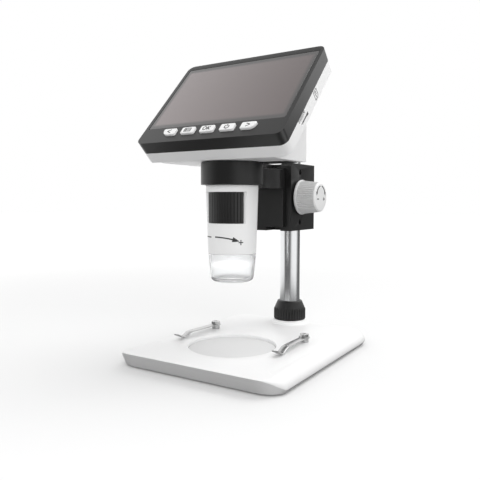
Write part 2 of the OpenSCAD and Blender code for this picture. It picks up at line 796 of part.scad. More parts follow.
module rear_shell() {
    color("white") difference() {
        union() {
            on_screen() difference() {
                screen_slab(0, frame_d, shell_back);
                screen_slab(shell_t, frame_d - 1, shell_back - shell_t);
            }
            difference() {
                wedge_form(0);
                on_screen() screen_slab(shell_t, -20, shell_back - shell_t);
            }
            on_screen() for (p = frame_screws) translate(p)
                cylinder_between(3, -shell_back + 1, -frame_d);
        }
        wedge_form(shell_t);
        on_axis() cylinder_between(12, wedge_floor - 2, wedge_floor + shell_t + 1);
        on_axis() for (a = barrel_screws_at) rotate([0, 0, a]) translate([barrel_screw_r, 0, 0])
            cylinder_between(1, wedge_floor - 1, wedge_floor + shell_t + 1);
        on_screen() {
            // thumbwheel slot and memory card slot on the right, charging socket on the left
            screen_block(45, frame_w / 2 + 1, dimmer_u - 5.5, dimmer_u + 5.5, frame_d - 0.1, board_n);
            screen_block(45, frame_w / 2 + 1, card_u[0] - 0.1, card_u[1] + 0.1,
                card_n[0] - 0.1, card_n[1] + 0.1);
            screen_block(-frame_w / 2 - 1, -45, socket_u[0] - 0.1, socket_u[1] + 0.1,
                board_n + board_t - 0.1, 15);
            for (p = frame_screws) translate(p) {
                cylinder_between(1.2, -shell_back - 1, -frame_d + 1);
                cylinder_between(2.2, -shell_back - 1, -shell_back + 2.5);
            }
        }
    }
}

module shell_screws() {
    color("silver") on_screen() for (p = frame_screws) translate([p[0], p[1], -shell_back + 2.4])
        rotate([180, 0, 0]) pan_screw(2, 1.2, 0.95, 9.5);
}

module main_board() {
    color("darkgreen") on_screen() screen_block(-52, 52.5, 20, 76, board_n, board_n + board_t);
}

module battery_cell() {
    color("steelblue") translate([-32.5, -15, 148.5]) rotate([0, 90, 0]) cylinder(r = 9.2, h = 65);
}

module usb_socket() {
    color("silver") on_screen() difference() {
        screen_block(-frame_w / 2 + 0.3, -49, socket_u[0], socket_u[1], board_n + board_t, 14.9);
        screen_block(-frame_w / 2 - 1, -50, socket_u[0] + 0.5, socket_u[1] - 0.5,
            board_n + board_t + 0.5, 14.4);
    }
}

module card_socket() {
    color("silver") on_screen() difference() {
        screen_block(40, frame_w / 2 - 2.1, card_u[0] - 1, card_u[1] + 1, board_n + board_t, 14.4);
        screen_block(41, frame_w / 2, card_u[0], card_u[1], card_n[0], card_n[1]);
    }
}

module dimmer_pot() {
    color([0.15, 0.15, 0.16]) on_screen() translate([dimmer_x, dimmer_u, 0]) {
        cylinder_between(3.6, -8.7, -5.6);
        cylinder_between(1.45, -board_n, -8.6);
    }
}

module dimmer_wheel() {
    color("gray") on_screen() translate([dimmer_x, dimmer_u, 0]) difference() {
        translate([0, 0, -10.8]) linear_extrude(1.9) polygon(rib_outline(30, dimmer_r - 0.35, dimmer_r));
        cylinder_between(1.5, -12, -8);
    }
}

base_shell();
base_plate();
base_feet();
base_screws();
stage_disc();
pole_collet();
pole_nut();
pole_tube();
pole_cap();
clip_left();
clip_right();
clip_spacers();
clip_screws();
pole_liner();
slide_box();
box_cover();
box_screws();
shaft_bushes();
pinion_shaft();
pinion_gear();
focus_knob();
knob_cap();
slide_plate();
rack_bar();
holder_arm();
arm_screws();
upper_barrel();
barrel_screws();
sensor_board();
image_sensor();
led_board();
led_lamps();
focus_barrel();
grip_insert();
clear_tip();
lens_carrier();
focus_pins();
front_lens();
middle_lens();
rear_lens();
front_frame();
window_glass();
lcd_panel();
button_left();
button_menu();
button_ok();
button_power();
button_right();
button_board();
dome_switches();
rear_shell();
shell_screws();
main_board();
battery_cell();
usb_socket();
card_socket();
dimmer_pot();
dimmer_wheel();
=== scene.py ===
# %% [markdown]
# # A digital microscope on its table stand
# The mechanical model of this microscope already exists: every plate, shaft and lens sits in its
# place, in metres, and moves on its own joint. This lesson dresses that model. Some parts only
# need a finish. Others, such as the moulded base or the ribbed knob, get a new skin with the small
# radii and ribs that make a real moulding look real. Each new skin is a grid of points that numpy
# works out in one go, because a grid has clean quads, closed seams and a formula that can be read.

# %% Load the frame
import json
import math

import bmesh
import bpy
import numpy as np
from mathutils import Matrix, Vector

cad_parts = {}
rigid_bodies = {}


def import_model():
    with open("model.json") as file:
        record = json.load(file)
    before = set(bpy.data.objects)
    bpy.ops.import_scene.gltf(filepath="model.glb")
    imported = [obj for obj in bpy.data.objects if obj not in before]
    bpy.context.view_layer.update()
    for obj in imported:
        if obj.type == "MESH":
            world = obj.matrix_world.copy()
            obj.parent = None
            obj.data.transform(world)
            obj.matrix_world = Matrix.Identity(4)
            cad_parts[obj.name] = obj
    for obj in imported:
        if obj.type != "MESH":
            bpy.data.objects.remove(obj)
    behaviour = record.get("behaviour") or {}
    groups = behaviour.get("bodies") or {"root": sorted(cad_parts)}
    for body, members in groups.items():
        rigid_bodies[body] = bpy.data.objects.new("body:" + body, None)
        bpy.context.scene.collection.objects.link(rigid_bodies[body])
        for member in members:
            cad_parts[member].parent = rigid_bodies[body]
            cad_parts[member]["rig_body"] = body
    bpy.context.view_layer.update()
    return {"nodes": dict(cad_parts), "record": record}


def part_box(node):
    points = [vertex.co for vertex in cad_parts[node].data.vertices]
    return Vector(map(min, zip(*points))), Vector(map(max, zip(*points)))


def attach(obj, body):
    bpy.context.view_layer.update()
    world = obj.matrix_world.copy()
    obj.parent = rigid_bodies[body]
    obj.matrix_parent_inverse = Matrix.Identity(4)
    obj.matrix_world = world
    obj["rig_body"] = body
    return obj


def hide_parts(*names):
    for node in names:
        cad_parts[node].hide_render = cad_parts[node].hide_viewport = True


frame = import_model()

MM = 0.001
nodes = frame["nodes"]

# %% [markdown]
# ## The camera
# The photograph was taken from the user's front right, a little above the base and just below the
# screen, so the base shows its top and the screen unit shows its underside. The camera goes there
# first, because it tells which details are worth making.

# %% Camera
camera_data = bpy.data.cameras.new("camera")
camera = bpy.data.objects.new("camera", camera_data)
camera_data.sensor_width = 36.0
camera_data.lens = 40.875
camera.location = (0.2011, -0.3329, 0.1095)
camera.rotation_euler = (math.radians(90 - 4.1), 0.0, math.radians(32.5))
bpy.context.collection.objects.link(camera)
bpy.context.scene.camera = camera
bpy.context.scene.view_settings.view_transform = "Standard"
print("camera at", tuple(camera.location), "lens", camera_data.lens, "mm")

# %% [markdown]
# ## Skins from closed rings
# Nearly every moulded part here can be described as a stack of closed outlines: a knob is a stack
# of ribbed circles, a key is a stack of rounded rectangles that shrink towards its top. `skin`
# joins such a stack with quads. A stack that ends gets a fan to one point, and a stack that comes
# back to its start is joined there, so that the surface is always closed.

# %% Skins
def new_piece(name, points, faces, body, finish, replaced=(), crease=32):
    """A mesh piece from an array of points (metres) and quads or triangles, with its normals
    outwards. An edge stays sharp where its faces meet at more than crease degrees."""
    mesh = bpy.data.meshes.new(name)
    mesh.from_pydata(np.asarray(points, float).tolist(), [], faces)
    work = bmesh.new()
    work.from_mesh(mesh)
    bmesh.ops.remove_doubles(work, verts=work.verts, dist=1e-7)
    bmesh.ops.recalc_face_normals(work, faces=work.faces)
    work.to_mesh(mesh)
    work.free()
    mesh.shade_smooth()
    mesh.set_sharp_from_angle(angle=math.radians(crease))
    mesh.materials.append(finish)
    piece = bpy.data.objects.new(name, mesh)
    bpy.context.collection.objects.link(piece)
    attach(piece, body)
    if replaced:
        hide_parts(*replaced)
    return piece


def ring_faces(rings, count, closed=False):
    """Quads between neighbouring rings of count points; point i of a ring meets point i of the next."""
    row = np.arange(rings if closed else rings - 1)[:, None]
    col = np.arange(count)[None, :]
    up, right = (row + 1) % rings, (col + 1) % count
    quads = np.stack([row * count + col, row * count + right, up * count + right, up * count + col], -1)
    return quads.reshape(-1, 4).tolist()


def fan_faces(first, tip, count):
    """Triangles from one ring of points to a tip point."""
    col = np.arange(count)
    return np.stack([first + col, first + (col + 1) % count, np.full(count, tip)], -1).tolist()


def skin(rings, closed=False):
    """Points and faces of a closed skin over rings, an array (rings, points, 3).
    Unless closed, each end is shut by a fan to the middle of its ring."""
    rings = np.asarray(rings, float)
    levels, count = rings.shape[:2]
    points = rings.reshape(-1, 3)
    faces = ring_faces(levels, count, closed)
    if not closed:
        points = np.vstack([points, rings[0].mean(0), rings[-1].mean(0)])
        faces += fan_faces(0, levels * count, count)
        faces += fan_faces((levels - 1) * count, levels * count + 1, count)
    return points, faces


def lathe(profile, count=128, centre=(0.0, 0.0)):
    """Rings for a turned shape about an upright axis: each (radius, height) of the profile becomes
    a circle, point i standing at the angle i / count of a full turn. Sizes in mm."""
    profile = np.asarray(profile, float) * MM
    angle = np.linspace(0, 2 * np.pi, count, endpoint=False)
    x = centre[0] * MM + profile[:, :1] * np.cos(angle)
    y = centre[1] * MM + profile[:, :1] * np.sin(angle)
    z = np.broadcast_to(profile[:, 1:], x.shape)
    return np.stack([x, y, z], -1)


def arc(cx, cy, radius, start, end, steps=6):
    """Points of a round corner about (cx, cy), from one angle to another in degrees."""
    angle = np.radians(np.linspace(start, end, steps + 1))
    return np.stack([cx + radius * np.cos(angle), cy + radius * np.sin(angle)], -1)


def rounded_outline(x0, x1, y0, y1, r_front, r_back, per_arc=12, per_side=1):
    """A rectangle with round corners as one closed line: four arcs joined by straight sides.
    The corners at y0 have the radius r_front and those at y1 have r_back."""
    corners = [arc(x0 + r_front, y0 + r_front, r_front, 180, 270, per_arc),
               arc(x1 - r_front, y0 + r_front, r_front, 270, 360, per_arc),
               arc(x1 - r_back, y1 - r_back, r_back, 0, 90, per_arc),
               arc(x0 + r_back, y1 - r_back, r_back, 90, 180, per_arc)]
    line = []
    for here, after in zip(corners, corners[1:] + corners[:1]):
        line.append(here)
        share = np.linspace(0, 1, per_side + 1)[1:-1, None]
        line.append(here[-1] * (1 - share) + after[0] * share)
    return np.vstack(line)


def lifted(line, height):
    """A flat outline as points (x, y, height); height may be one number or one for each point."""
    return np.column_stack([line, np.broadcast_to(height, len(line))])


def middle_of(node):
    """Middle of a part's box in mm."""
    return [(a + b) / 2 / MM for a, b in zip(*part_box(node))]


print("helpers ready")

# %% [markdown]
# ## Places that several parts share
# The screen unit leans back, so its parts are easiest to describe in a frame of their own: x across
# the screen, u up its sloping face and n into the housing. `on_screen` turns such points into
# the common frame. The tilt comes from the mechanical model: it is the slope of the window.

# %% The screen's own frame
AXIS_Y, POLE_Y = middle_of("focus_barrel")[1], middle_of("pole_tube")[1]
TILT = math.radians(46)
SCREEN_ORIGIN = np.array([0.0, -60.6, 147.3])
X_DIR = np.array([1.0, 0.0, 0.0])
U_DIR = np.array([0.0, math.cos(TILT), math.sin(TILT)])
N_DIR = np.array([0.0, math.sin(TILT), -math.cos(TILT)])


def on_screen(points):
    """Points (x, u, n) in mm on the screen unit as places in metres."""
    points = np.asarray(points, float)
    return (SCREEN_ORIGIN + points @ np.array([X_DIR, U_DIR, N_DIR])) * MM


print("optical axis y", round(AXIS_Y, 2), "pole y", round(POLE_Y, 2))

# %% [markdown]
# ## Finishes
# Each finish is a small network of nodes. What several finishes share is a node group: `fine_grain`
# gives the tiny bumps of a spark-eroded mould, `drawn_lines` the long scratches of drawn or brushed
# metal, and `handled` a faint cloudy change of tone, as dust and hands leave on any surface. Groups
# put out only values and colours; the Principled shader stays in the material, where it can be
# changed and exported. Every pattern is fixed to the object by its Object coordinates.

# %% Node groups
def new_group(name, inputs, outputs):
    """An empty shader node group with named float or colour sockets; returns it with its two ends."""
    group = bpy.data.node_groups.new(name, "ShaderNodeTree")
    for label, kind, value in inputs:
        socket = group.interface.new_socket(label, in_out="INPUT", socket_type=kind)
        if value is not None:
            socket.default_value = value
    for label, kind in outputs:
        group.interface.new_socket(label, in_out="OUTPUT", socket_type=kind)
    return group, group.nodes.new("NodeGroupInput"), group.nodes.new("NodeGroupOutput")


def add(tree, kind, links=(), **values):
    """One node with its settings; links is a list of (socket name or index, socket it comes from)."""
    node = tree.nodes.new(kind)
    for key, value in values.items():
        setattr(node, key, value)
    for key, value in links:
        if isinstance(value, bpy.types.NodeSocket):
            tree.links.new(value, node.inputs[key])
        else:
            node.inputs[key].default_value = value
    return node


def maths(tree, operation, *values):
    """Result of a Math node over numbers or sockets."""
    return add(tree, "ShaderNodeMath", enumerate(values), operation=operation).outputs[0]


def vectors(tree, operation, *values, result="Vector"):
    """Result of a Vector Math node; result is Value where it is a single number."""
    return add(tree, "ShaderNodeVectorMath", enumerate(values), operation=operation).outputs[result]


def noise(tree, vector, **values):
    """Grey cloud of a Noise Texture: Scale, Detail and Roughness as on the node."""
    return add(tree, "ShaderNodeTexNoise", [("Vector", vector), *values.items()]).outputs["Fac"]


FLOAT, COLOR, VECTOR = "NodeSocketFloat", "NodeSocketColor", "NodeSocketVector"


def make_fine_grain():
    """Height of a moulded grain: fine noise with a coarser noise under it, both per metre."""
    group, g_in, g_out = new_group("fine_grain", [("Vector", VECTOR, None), ("Scale", FLOAT, 2500.0)],
                                   [("Height", FLOAT)])
    where, scale = g_in.outputs["Vector"], g_in.outputs["Scale"]
    fine = noise(group, where, Scale=scale, Detail=2.0, Roughness=0.6)
    coarse = noise(group, where, Scale=maths(group, "MULTIPLY", scale, 0.3), Detail=1.0)
    group.links.new(maths(group, "ADD", fine, coarse), g_out.inputs["Height"])
    return group


def make_handled():
    """A colour and a roughness that drift a little: cloudy noise moves both by the amount given."""
    group, g_in, g_out = new_group(
        "handled", [("Vector", VECTOR, None), ("Color", COLOR, None), ("Dark", COLOR, None),
                    ("Roughness", FLOAT, 0.4), ("Amount", FLOAT, 0.1), ("Scale", FLOAT, 30.0)],
        [("Color", COLOR), ("Roughness", FLOAT)])
    given = g_in.outputs
    cloud = noise(group, given["Vector"], Scale=given["Scale"], Detail=4.0, Roughness=0.55)
    tone = add(group, "ShaderNodeMix", [(0, cloud), (6, given["Color"]), (7, given["Dark"])], data_type="RGBA")
    shift = maths(group, "MULTIPLY", maths(group, "SUBTRACT", cloud, 0.5), given["Amount"])
    group.links.new(tone.outputs[2], g_out.inputs["Color"])
    group.links.new(maths(group, "ADD", given["Roughness"], shift), g_out.inputs["Roughness"])
    return group


def make_drawn_lines():
    """Height of long fine scratches: noise on coordinates that are squeezed along one direction."""
    group, g_in, g_out = new_group(
        "drawn_lines", [("Vector", VECTOR, None), ("Stretch", VECTOR, (4000.0, 4000.0, 60.0))],
        [("Height", FLOAT)])
    squeezed = vectors(group, "MULTIPLY", g_in.outputs["Vector"], g_in.outputs["Stretch"])
    group.links.new(noise(group, squeezed, Scale=1.0, Detail=3.0, Roughness=0.65), g_out.inputs["Height"])
    return group


FINE_GRAIN, HANDLED, DRAWN_LINES = make_fine_grain(), make_handled(), make_drawn_lines()
print("node groups:", FINE_GRAIN.name, HANDLED.name, DRAWN_LINES.name)

# %% [markdown]
# One function then makes every plastic and paint, and another every bare metal. They differ only in
# the values that a maker would name: tone, gloss, grain size and depth, and a clear coat where the
# part is polished.

# %% Plastics and metals
def use_group(tree, group, **values):
    """Places a node group and sets its inputs; a value may be a number or another node's socket."""
    return add(tree, "ShaderNodeGroup", values.items(), node_tree=group)


def blank_material(name):
    """A new node material; returns it, its tree, its shader and the Object coordinates."""
    material = bpy.data.materials.new(name)
    material.use_nodes = True
    tree = material.node_tree
    shader = tree.nodes["Principled BSDF"]
    where = add(tree, "ShaderNodeTexCoord").outputs["Object"]
    return material, tree, shader, where


def grey(value, warmth=0.0):
    """An almost neutral colour: warmth raises red and lowers blue."""
    return (value * (1 + warmth), value, value * (1 - warmth), 1.0)


def surface(tree, shader, cloud, height, depth, strength):
    """Joins a clouded colour and roughness and a bump of a height to the shader."""
    bump = add(tree, "ShaderNodeBump", [("Height", height.outputs[0]), ("Distance", depth),
                                        ("Strength", strength)])
    for socket, key in ((cloud.outputs["Color"], "Base Color"), (cloud.outputs["Roughness"], "Roughness"),
                        (bump.outputs[0], "Normal")):
        tree.links.new(socket, shader.inputs[key])


def plastic(name, color, dark, roughness, grain=2500.0, strength=0.25, coat=0.0, specular=0.5):
    """Moulded plastic or paint: a clouded colour, a fine grain in the normals and an optional coat."""
    material, tree, shader, where = blank_material(name)
    cloud = use_group(tree, HANDLED, Vector=where, Color=color, Dark=dark, Roughness=roughness,
                      Amount=0.08, Scale=28.0)
    surface(tree, shader, cloud, use_group(tree, FINE_GRAIN, Vector=where, Scale=grain), 0.00002, strength)
    shader.inputs["Coat Weight"].default_value = coat
    shader.inputs["Coat Roughness"].default_value = 0.12
    shader.inputs["Specular IOR Level"].default_value = specular
    return material


def metal(name, color, dark, roughness, stretch, strength=0.3):
    """Bare metal: full metallic, with drawn lines in one direction in the normals."""
    material, tree, shader, where = blank_material(name)
    cloud = use_group(tree, HANDLED, Vector=where, Color=color, Dark=dark, Roughness=roughness,
                      Amount=0.1, Scale=60.0)
    lines = use_group(tree, DRAWN_LINES, Vector=where, Stretch=stretch)
    surface(tree, shader, cloud, lines, 0.000012, strength)
    shader.inputs["Metallic"].default_value = 1.0
    return material


WHITE = plastic("white_shell", grey(0.88), grey(0.84), 0.34, grain=3200, strength=0.12, coat=0.15)
BASE_WHITE = plastic("white_base", grey(0.85), grey(0.82), 0.42, grain=2600, strength=0.15)
STAGE = plastic("stage_grey", grey(0.70), grey(0.66), 0.5, grain=2200)
BLACK = plastic("black_plastic", grey(0.013), grey(0.010), 0.40, grain=2300, strength=0.3)
BLACK_METAL = plastic("black_metal", grey(0.014), grey(0.009), 0.34, grain=2800)
HOLDER_BLACK = plastic("holder_black", grey(0.011), grey(0.008), 0.36, grain=2800, specular=0.38)
FRAME_DARK = plastic("frame_dark", grey(0.011), grey(0.008), 0.34, grain=3000, strength=0.2, specular=0.75)
KNOB_GREY = plastic("knob_grey", grey(0.66), grey(0.60), 0.42, grain=2600, strength=0.2)
RUBBER = plastic("foot_rubber", grey(0.03), grey(0.022), 0.75, grain=1500, strength=0.5)
NYLON = plastic("nylon", grey(0.70, 0.03), grey(0.64, 0.03), 0.5)
CHIP = plastic("chip", grey(0.03), grey(0.02), 0.5)
BOARD = plastic("circuit_green", (0.01, 0.09, 0.03, 1), (0.008, 0.06, 0.02, 1), 0.3)
LED_WHITE = plastic("led_white", grey(0.85, 0.02), grey(0.80, 0.04), 0.3)
CELL = plastic("cell_wrap", (0.02, 0.06, 0.28, 1), (0.02, 0.05, 0.22, 1), 0.25, coat=0.4)
INK = plastic("print_ink", grey(0.035), grey(0.025), 0.5)
PALE_INK = plastic("pale_ink", grey(0.11), grey(0.09), 0.5)
DARK_INK = plastic("dark_ink", grey(0.07), grey(0.05), 0.5)
POLE = metal("pole_metal", grey(0.80, -0.01), grey(0.76, -0.01), 0.2, (3500.0, 3500.0, 40.0), strength=0.1)
STEEL = metal("steel", grey(0.56), grey(0.50), 0.28, (3500.0, 90.0, 3500.0))
BRIGHT = metal("bright_steel", grey(0.62), grey(0.55), 0.22, (2500.0, 2500.0, 2500.0))
BRASS = metal("brass", (0.72, 0.47, 0.16, 1), (0.62, 0.38, 0.12, 1), 0.3, (1500.0, 1500.0, 1500.0))
print(len(bpy.data.materials), "materials so far")

# %% [markdown]
# Clear parts let light through, so their shader needs transmission. The tip is moulded acrylic
# with a faint haze, and the lenses are optical glass. The haze is a higher roughness in soft
# patches, kept small so that the lamps inside stay visible.

# %% Clear materials
def clear(name, color, roughness, ior, haze=0.04, milk=0.0):
    """Clear plastic or glass, with a roughness that drifts in soft patches; milk is the share of
    light that scatters instead of passing through."""
    material, tree, shader, where = blank_material(name)
    cloud = use_group(tree, HANDLED, Vector=where, Color=color, Dark=color, Roughness=roughness,
                      Amount=haze, Scale=90.0)
    tree.links.new(cloud.outputs["Roughness"], shader.inputs["Roughness"])
    shader.inputs["Base Color"].default_value = color
    shader.inputs["Transmission Weight"].default_value = 1.0 - milk
    shader.inputs["IOR"].default_value = ior
    return material


CLEAR = clear("clear_hood", (0.97, 0.975, 0.98, 1), 0.16, 1.38, 0.06, milk=0.20)
LENS = clear("lens_glass", (0.92, 0.97, 0.98, 1), 0.0, 1.52, 0.0)
print("clear materials", CLEAR.name, LENS.name)

# %% [markdown]
# ## The base
# The base is one white moulding: a flat, slightly crowned top that rolls down over its side and
# back edges, and a front wall that leans back under a crisp top edge. It could be a box with
# bevels, but the roll is elliptical and fades into the leaning front, so it is built as a stack of
# outlines. Each outline has its own height and inset; the last ones turn into the circle of the
# well, because a point of the outline is matched with the point of the circle that lies in the
# same direction from the well's centre.

# %% Base shell
low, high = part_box("base_shell")
HALF_W, HALF_L = (high.x - low.x) / 2 / MM, (high.y - low.y) / 2 / MM
BASE_H, BASE_TOP = 10.5, 11.5                  # height at the edge and in the middle
WALL_FOOT, EDGE_WALL, EDGE_RUN = 1.1, 3.0, 11.0  # sides: lower and upper end of the wall, width of the roll
CREASE = 0.25                                  # front: size of the crisp top edge
FRONT_LEAN, TUCK = 5.3, 1.5                    # how far the foot stands back, in front and at the sides
WELL_R, WELL_FLOOR = 30.0, 7.3
PLAN = rounded_outline(-HALF_W, HALF_W, -HALF_L, HALF_L, 15.0, 20.0, per_arc=24, per_side=24)
OUT = np.column_stack([np.roll(PLAN[:, 1], -1) - np.roll(PLAN[:, 1], 1),
                       np.roll(PLAN[:, 0], 1) - np.roll(PLAN[:, 0], -1)])
OUT /= np.linalg.norm(OUT, axis=1, keepdims=True)
FRONTNESS = np.clip((-OUT[:, 1] - 0.08) / 0.9, 0, 1) ** 1.2


def base_ring(kind, share):
    """One ring of the base. FRONTNESS is 1 along the front, 0 along the sides and back and falls
    round the front corners; it raises the wall from EDGE_WALL to the full height and shrinks the
    roll above it. kind foot, wall and roll follow one another from the bottom to the top."""
    wall_top = EDGE_WALL + (BASE_H - CREASE - EDGE_WALL) * FRONTNESS
    lean = FRONT_LEAN * FRONTNESS
    run = EDGE_RUN * (1 - FRONTNESS) + CREASE * FRONTNESS
    tuck = TUCK * (1 - FRONTNESS)
    if kind == "foot":
        inset, z = lean + tuck + share[0], share[1]
    elif kind == "wall":
        z = WALL_FOOT + (wall_top - WALL_FOOT) * share
        inset = lean * (1 - z / BASE_H) + tuck * (1 - share)
    else:
        z = wall_top + (BASE_H - wall_top) * np.sin(share)
        inset = lean * (1 - wall_top / BASE_H) + run * (1 - np.cos(share))
    return lifted(PLAN - OUT * inset[:, None], z)


def build_base():
    """Foot, wall and roll, then the crown: each of its points runs straight from the edge to the
    rim of the well and rises along a parabola over the first stretch of that way."""
    rings = [base_ring("foot", s) for s in ((2.5, 2.0), (2.5, 0.5), (0.6, 0.5), (0.15, 0.7))]
    rings += [base_ring("wall", s) for s in np.linspace(0, 1, 5)]
    rings += [base_ring("roll", t) for t in np.radians(np.linspace(0, 90, 17))[1:]]
    edge = rings[-1]
    direction = np.arctan2(edge[:, 1] - AXIS_Y, edge[:, 0])
    around = np.column_stack([np.cos(direction), np.sin(direction)])
    rim = lifted([0, AXIS_Y] + (WELL_R + 0.45) * around, BASE_TOP)
    for share in (0.03, 0.08, 0.15, 0.24, 0.35, 0.5, 0.75, 1.0):
        ring = edge + (rim - edge) * share
        way = np.linalg.norm(ring[:, :2] - edge[:, :2], axis=1) / (9 + 11 * FRONTNESS)
        ring[:, 2] = BASE_H + (BASE_TOP - BASE_H) * (1 - (1 - np.minimum(way, 1)) ** 2)
        rings.append(ring)
    for radius, z in ((WELL_R + 0.15, BASE_TOP - 0.12), (WELL_R, BASE_TOP - 0.45), (WELL_R, WELL_FLOOR)):
        rings.append(lifted([0, AXIS_Y] + radius * around, z))
    points, faces = skin(np.array(rings) * MM)
    return new_piece("base_moulding", points, faces, "stand", BASE_WHITE, ["base_shell"], 24)


base_moulding = build_base()
print("base", len(base_moulding.data.polygons), "faces")

# %% [markdown]
# The pole stands in a low boss of the same moulding. It is turned, with a flare at its foot and a
# small round at its rim.

# %% Pole boss
boss_profile = np.vstack([[[9.0, 9.0], [16.2, 9.0], [16.2, BASE_TOP - 0.35]],
                          arc(16.2, BASE_TOP + 2.6, 2.9, 268, 188, 8),
                          arc(12.5, 14.0, 0.5, 0, 90, 4), [[9.0, 14.5]]])
points, faces = skin(lathe(boss_profile, 128, (0.0, POLE_Y)), closed=True)
pole_boss = new_piece("pole_boss", points, faces, "stand", BASE_WHITE)
print("boss", len(pole_boss.data.polygons), "faces")

# %% [markdown]
# ## Turned and ribbed parts
# The knob and the lock nut are turned bodies with ribs. `ribbed` is a lathe whose radius rises and
# falls with the angle: the ribs are a smoothed square wave, scaled by how strongly each level
# of the profile carries them. Levels with a strength of zero stay round, so collars and caps come
# out of the same formula.

# %% Ribs
def ribbed(profile, ribs, depth, sharp=3.0, samples=10):
    """Rings of a turned and ribbed body. profile rows are (radius, height, rib strength): the
    radius is lowered by depth x strength x (1 - wave) / 2, the wave being a softened square wave."""
    profile = np.asarray(profile, float)
    angle = np.linspace(0, 2 * np.pi, ribs * samples, endpoint=False)
    wave = np.tanh(sharp * np.cos(ribs * angle)) / np.tanh(sharp)
    radius = profile[:, :1] - depth * profile[:, 2:] * (1 - wave) / 2
    height = np.broadcast_to(profile[:, 1:2], radius.shape)
    return np.stack([radius * np.cos(angle), radius * np.sin(angle), height], -1)


_, KNOB_Y, KNOB_Z = middle_of("knob_cap")
KNOB_END, KNOB_FACE = 31.1, 32.7   # outer end of the grip and face of the cap, along X


def along_x(rings):
    """Rings about an upright axis laid down, so that their axis is the knob's, along +X."""
    return np.stack([rings[..., 2], KNOB_Y + rings[..., 0], KNOB_Z + rings[..., 1]], -1) * MM


def build_knob():
    """The ribbed grip and the smooth cap on its end."""
    body = [(2.1, 16.3, 0), (12.2, 16.3, 0), (12.9, 16.4, 0), (13.2, 16.8, 0), (13.2, 17.4, 0),
            (12.95, 17.9, 0), (12.65, 18.1, 0), (12.6, 18.4, 1), (12.15, 22.0, 1), (11.7, 26.0, 1),
            (11.15, 30.4, 1), (11.0, 30.8, 0), (10.9, KNOB_END, 0), (2.1, KNOB_END, 0)]
    points, faces = skin(along_x(ribbed(body, 44, 0.5)), closed=True)
    knob = new_piece("knob_grip", points, faces, "focus_drive", KNOB_GREY, ["focus_knob"], 40)
    cap = np.vstack([[(10.7, KNOB_END), (10.9, 31.25)], arc(9.6, 31.4, 1.3, 5, 90, 7), [(4.0, KNOB_FACE)]])
    points, faces = skin(along_x(ribbed(lifted(cap, 0.0), 32, 0.0, samples=4)))
    return knob, new_piece("knob_lid", points, faces, "focus_drive", WHITE, ["knob_cap"], 40)


knob = build_knob()[0]
print("knob", len(knob.data.polygons), "faces; axis at", round(KNOB_Y, 2), round(KNOB_Z, 2))

# %% [markdown]
# The lock nut has coarse upright ribs on its lower part. They end at a shoulder, and a smooth cone
# with two soft steps closes on the pole.

# %% Lock nut
def build_nut():
    """Rings above the nut's underside, moved to the pole."""
    levels = [(8.35, 0.3, 0), (11.9, 0.0, 0), (12.4, 0.25, 0.4), (12.7, 0.8, 1), (12.7, 7.9, 1),
              (12.5, 8.6, 0.9), (12.1, 9.2, 0.3), (11.9, 9.6, 0), (11.5, 10.8, 0), (10.7, 12.6, 0),
              (10.2, 13.7, 0), (10.0, 14.3, 0), (9.7, 14.8, 0), (9.2, 15.0, 0), (8.35, 15.0, 0)]
    rings = ribbed(levels, 36, 0.9, sharp=2.2) + [0, POLE_Y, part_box("pole_nut")[0].z / MM]
    points, faces = skin(rings * MM, closed=True)
    return new_piece("lock_nut", points, faces, "nut", BLACK, ["pole_nut"], 40)


lock_nut = build_nut()
print("nut", len(lock_nut.data.polygons), "faces")

# %% [markdown]
# ## The pole
# The pole is drawn tube. Its only detail is a small chamfer at the top, above the slide box.

# %% Pole
pole_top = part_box("pole_tube")[1].z / MM
pole_profile = [(6.5, 3.0), (8.0, 3.0), (8.0, pole_top - 0.4), (7.7, pole_top), (6.5, pole_top)]
points, faces = skin(lathe(pole_profile, 160, (0.0, POLE_Y)), closed=True)
new_piece("pole", points, faces, "stand", POLE, ["pole_tube"])
print("pole top at", round(pole_top, 1), "mm")

# %% [markdown]
# ## The focus barrel
# The white barrel is a long shallow cone with a window cut in its front for the dark ribbed grip.
# On a grid of angle and height, the window is a dip in the radius. Its side walls slope over a few
# degrees, so a column of points stands on each edge of each wall; that gives crisp edges without
# any cutting.

# %% Barrel and grip
GRIP_FROM, GRIP_TO, LEFT_RUN, RIGHT_RUN = -50.0, 66.0, 8.0, 4.6   # window and its side walls, degrees
GRIP_Z0, GRIP_Z1, GRIP_FLOOR = 94.8, 115.3, 15.45                 # its heights and its floor's radius
BARREL_Z0, BARREL_Z1 = 74.5, 120.0
BARREL_R0, BARREL_R1 = 16.2, 17.6
TIP_Z0, TIP_COLLAR, BORE = 55.7, 78.1, 14.1    # foot of the tip, top of its collar, radius round the collar


def barrel_radius(z):
    """Outer radius of the cone at a height."""
    return BARREL_R0 + (BARREL_R1 - BARREL_R0) * (z - BARREL_Z0) / (BARREL_Z1 - BARREL_Z0)


def at_front(angle, radius, z):
    """Place in metres at an angle in degrees from the front towards the right, about the barrel's axis."""
    turn = np.radians(angle)
    return np.stack([radius * np.sin(turn), AXIS_Y - radius * np.cos(turn), z + 0 * turn], -1) * MM


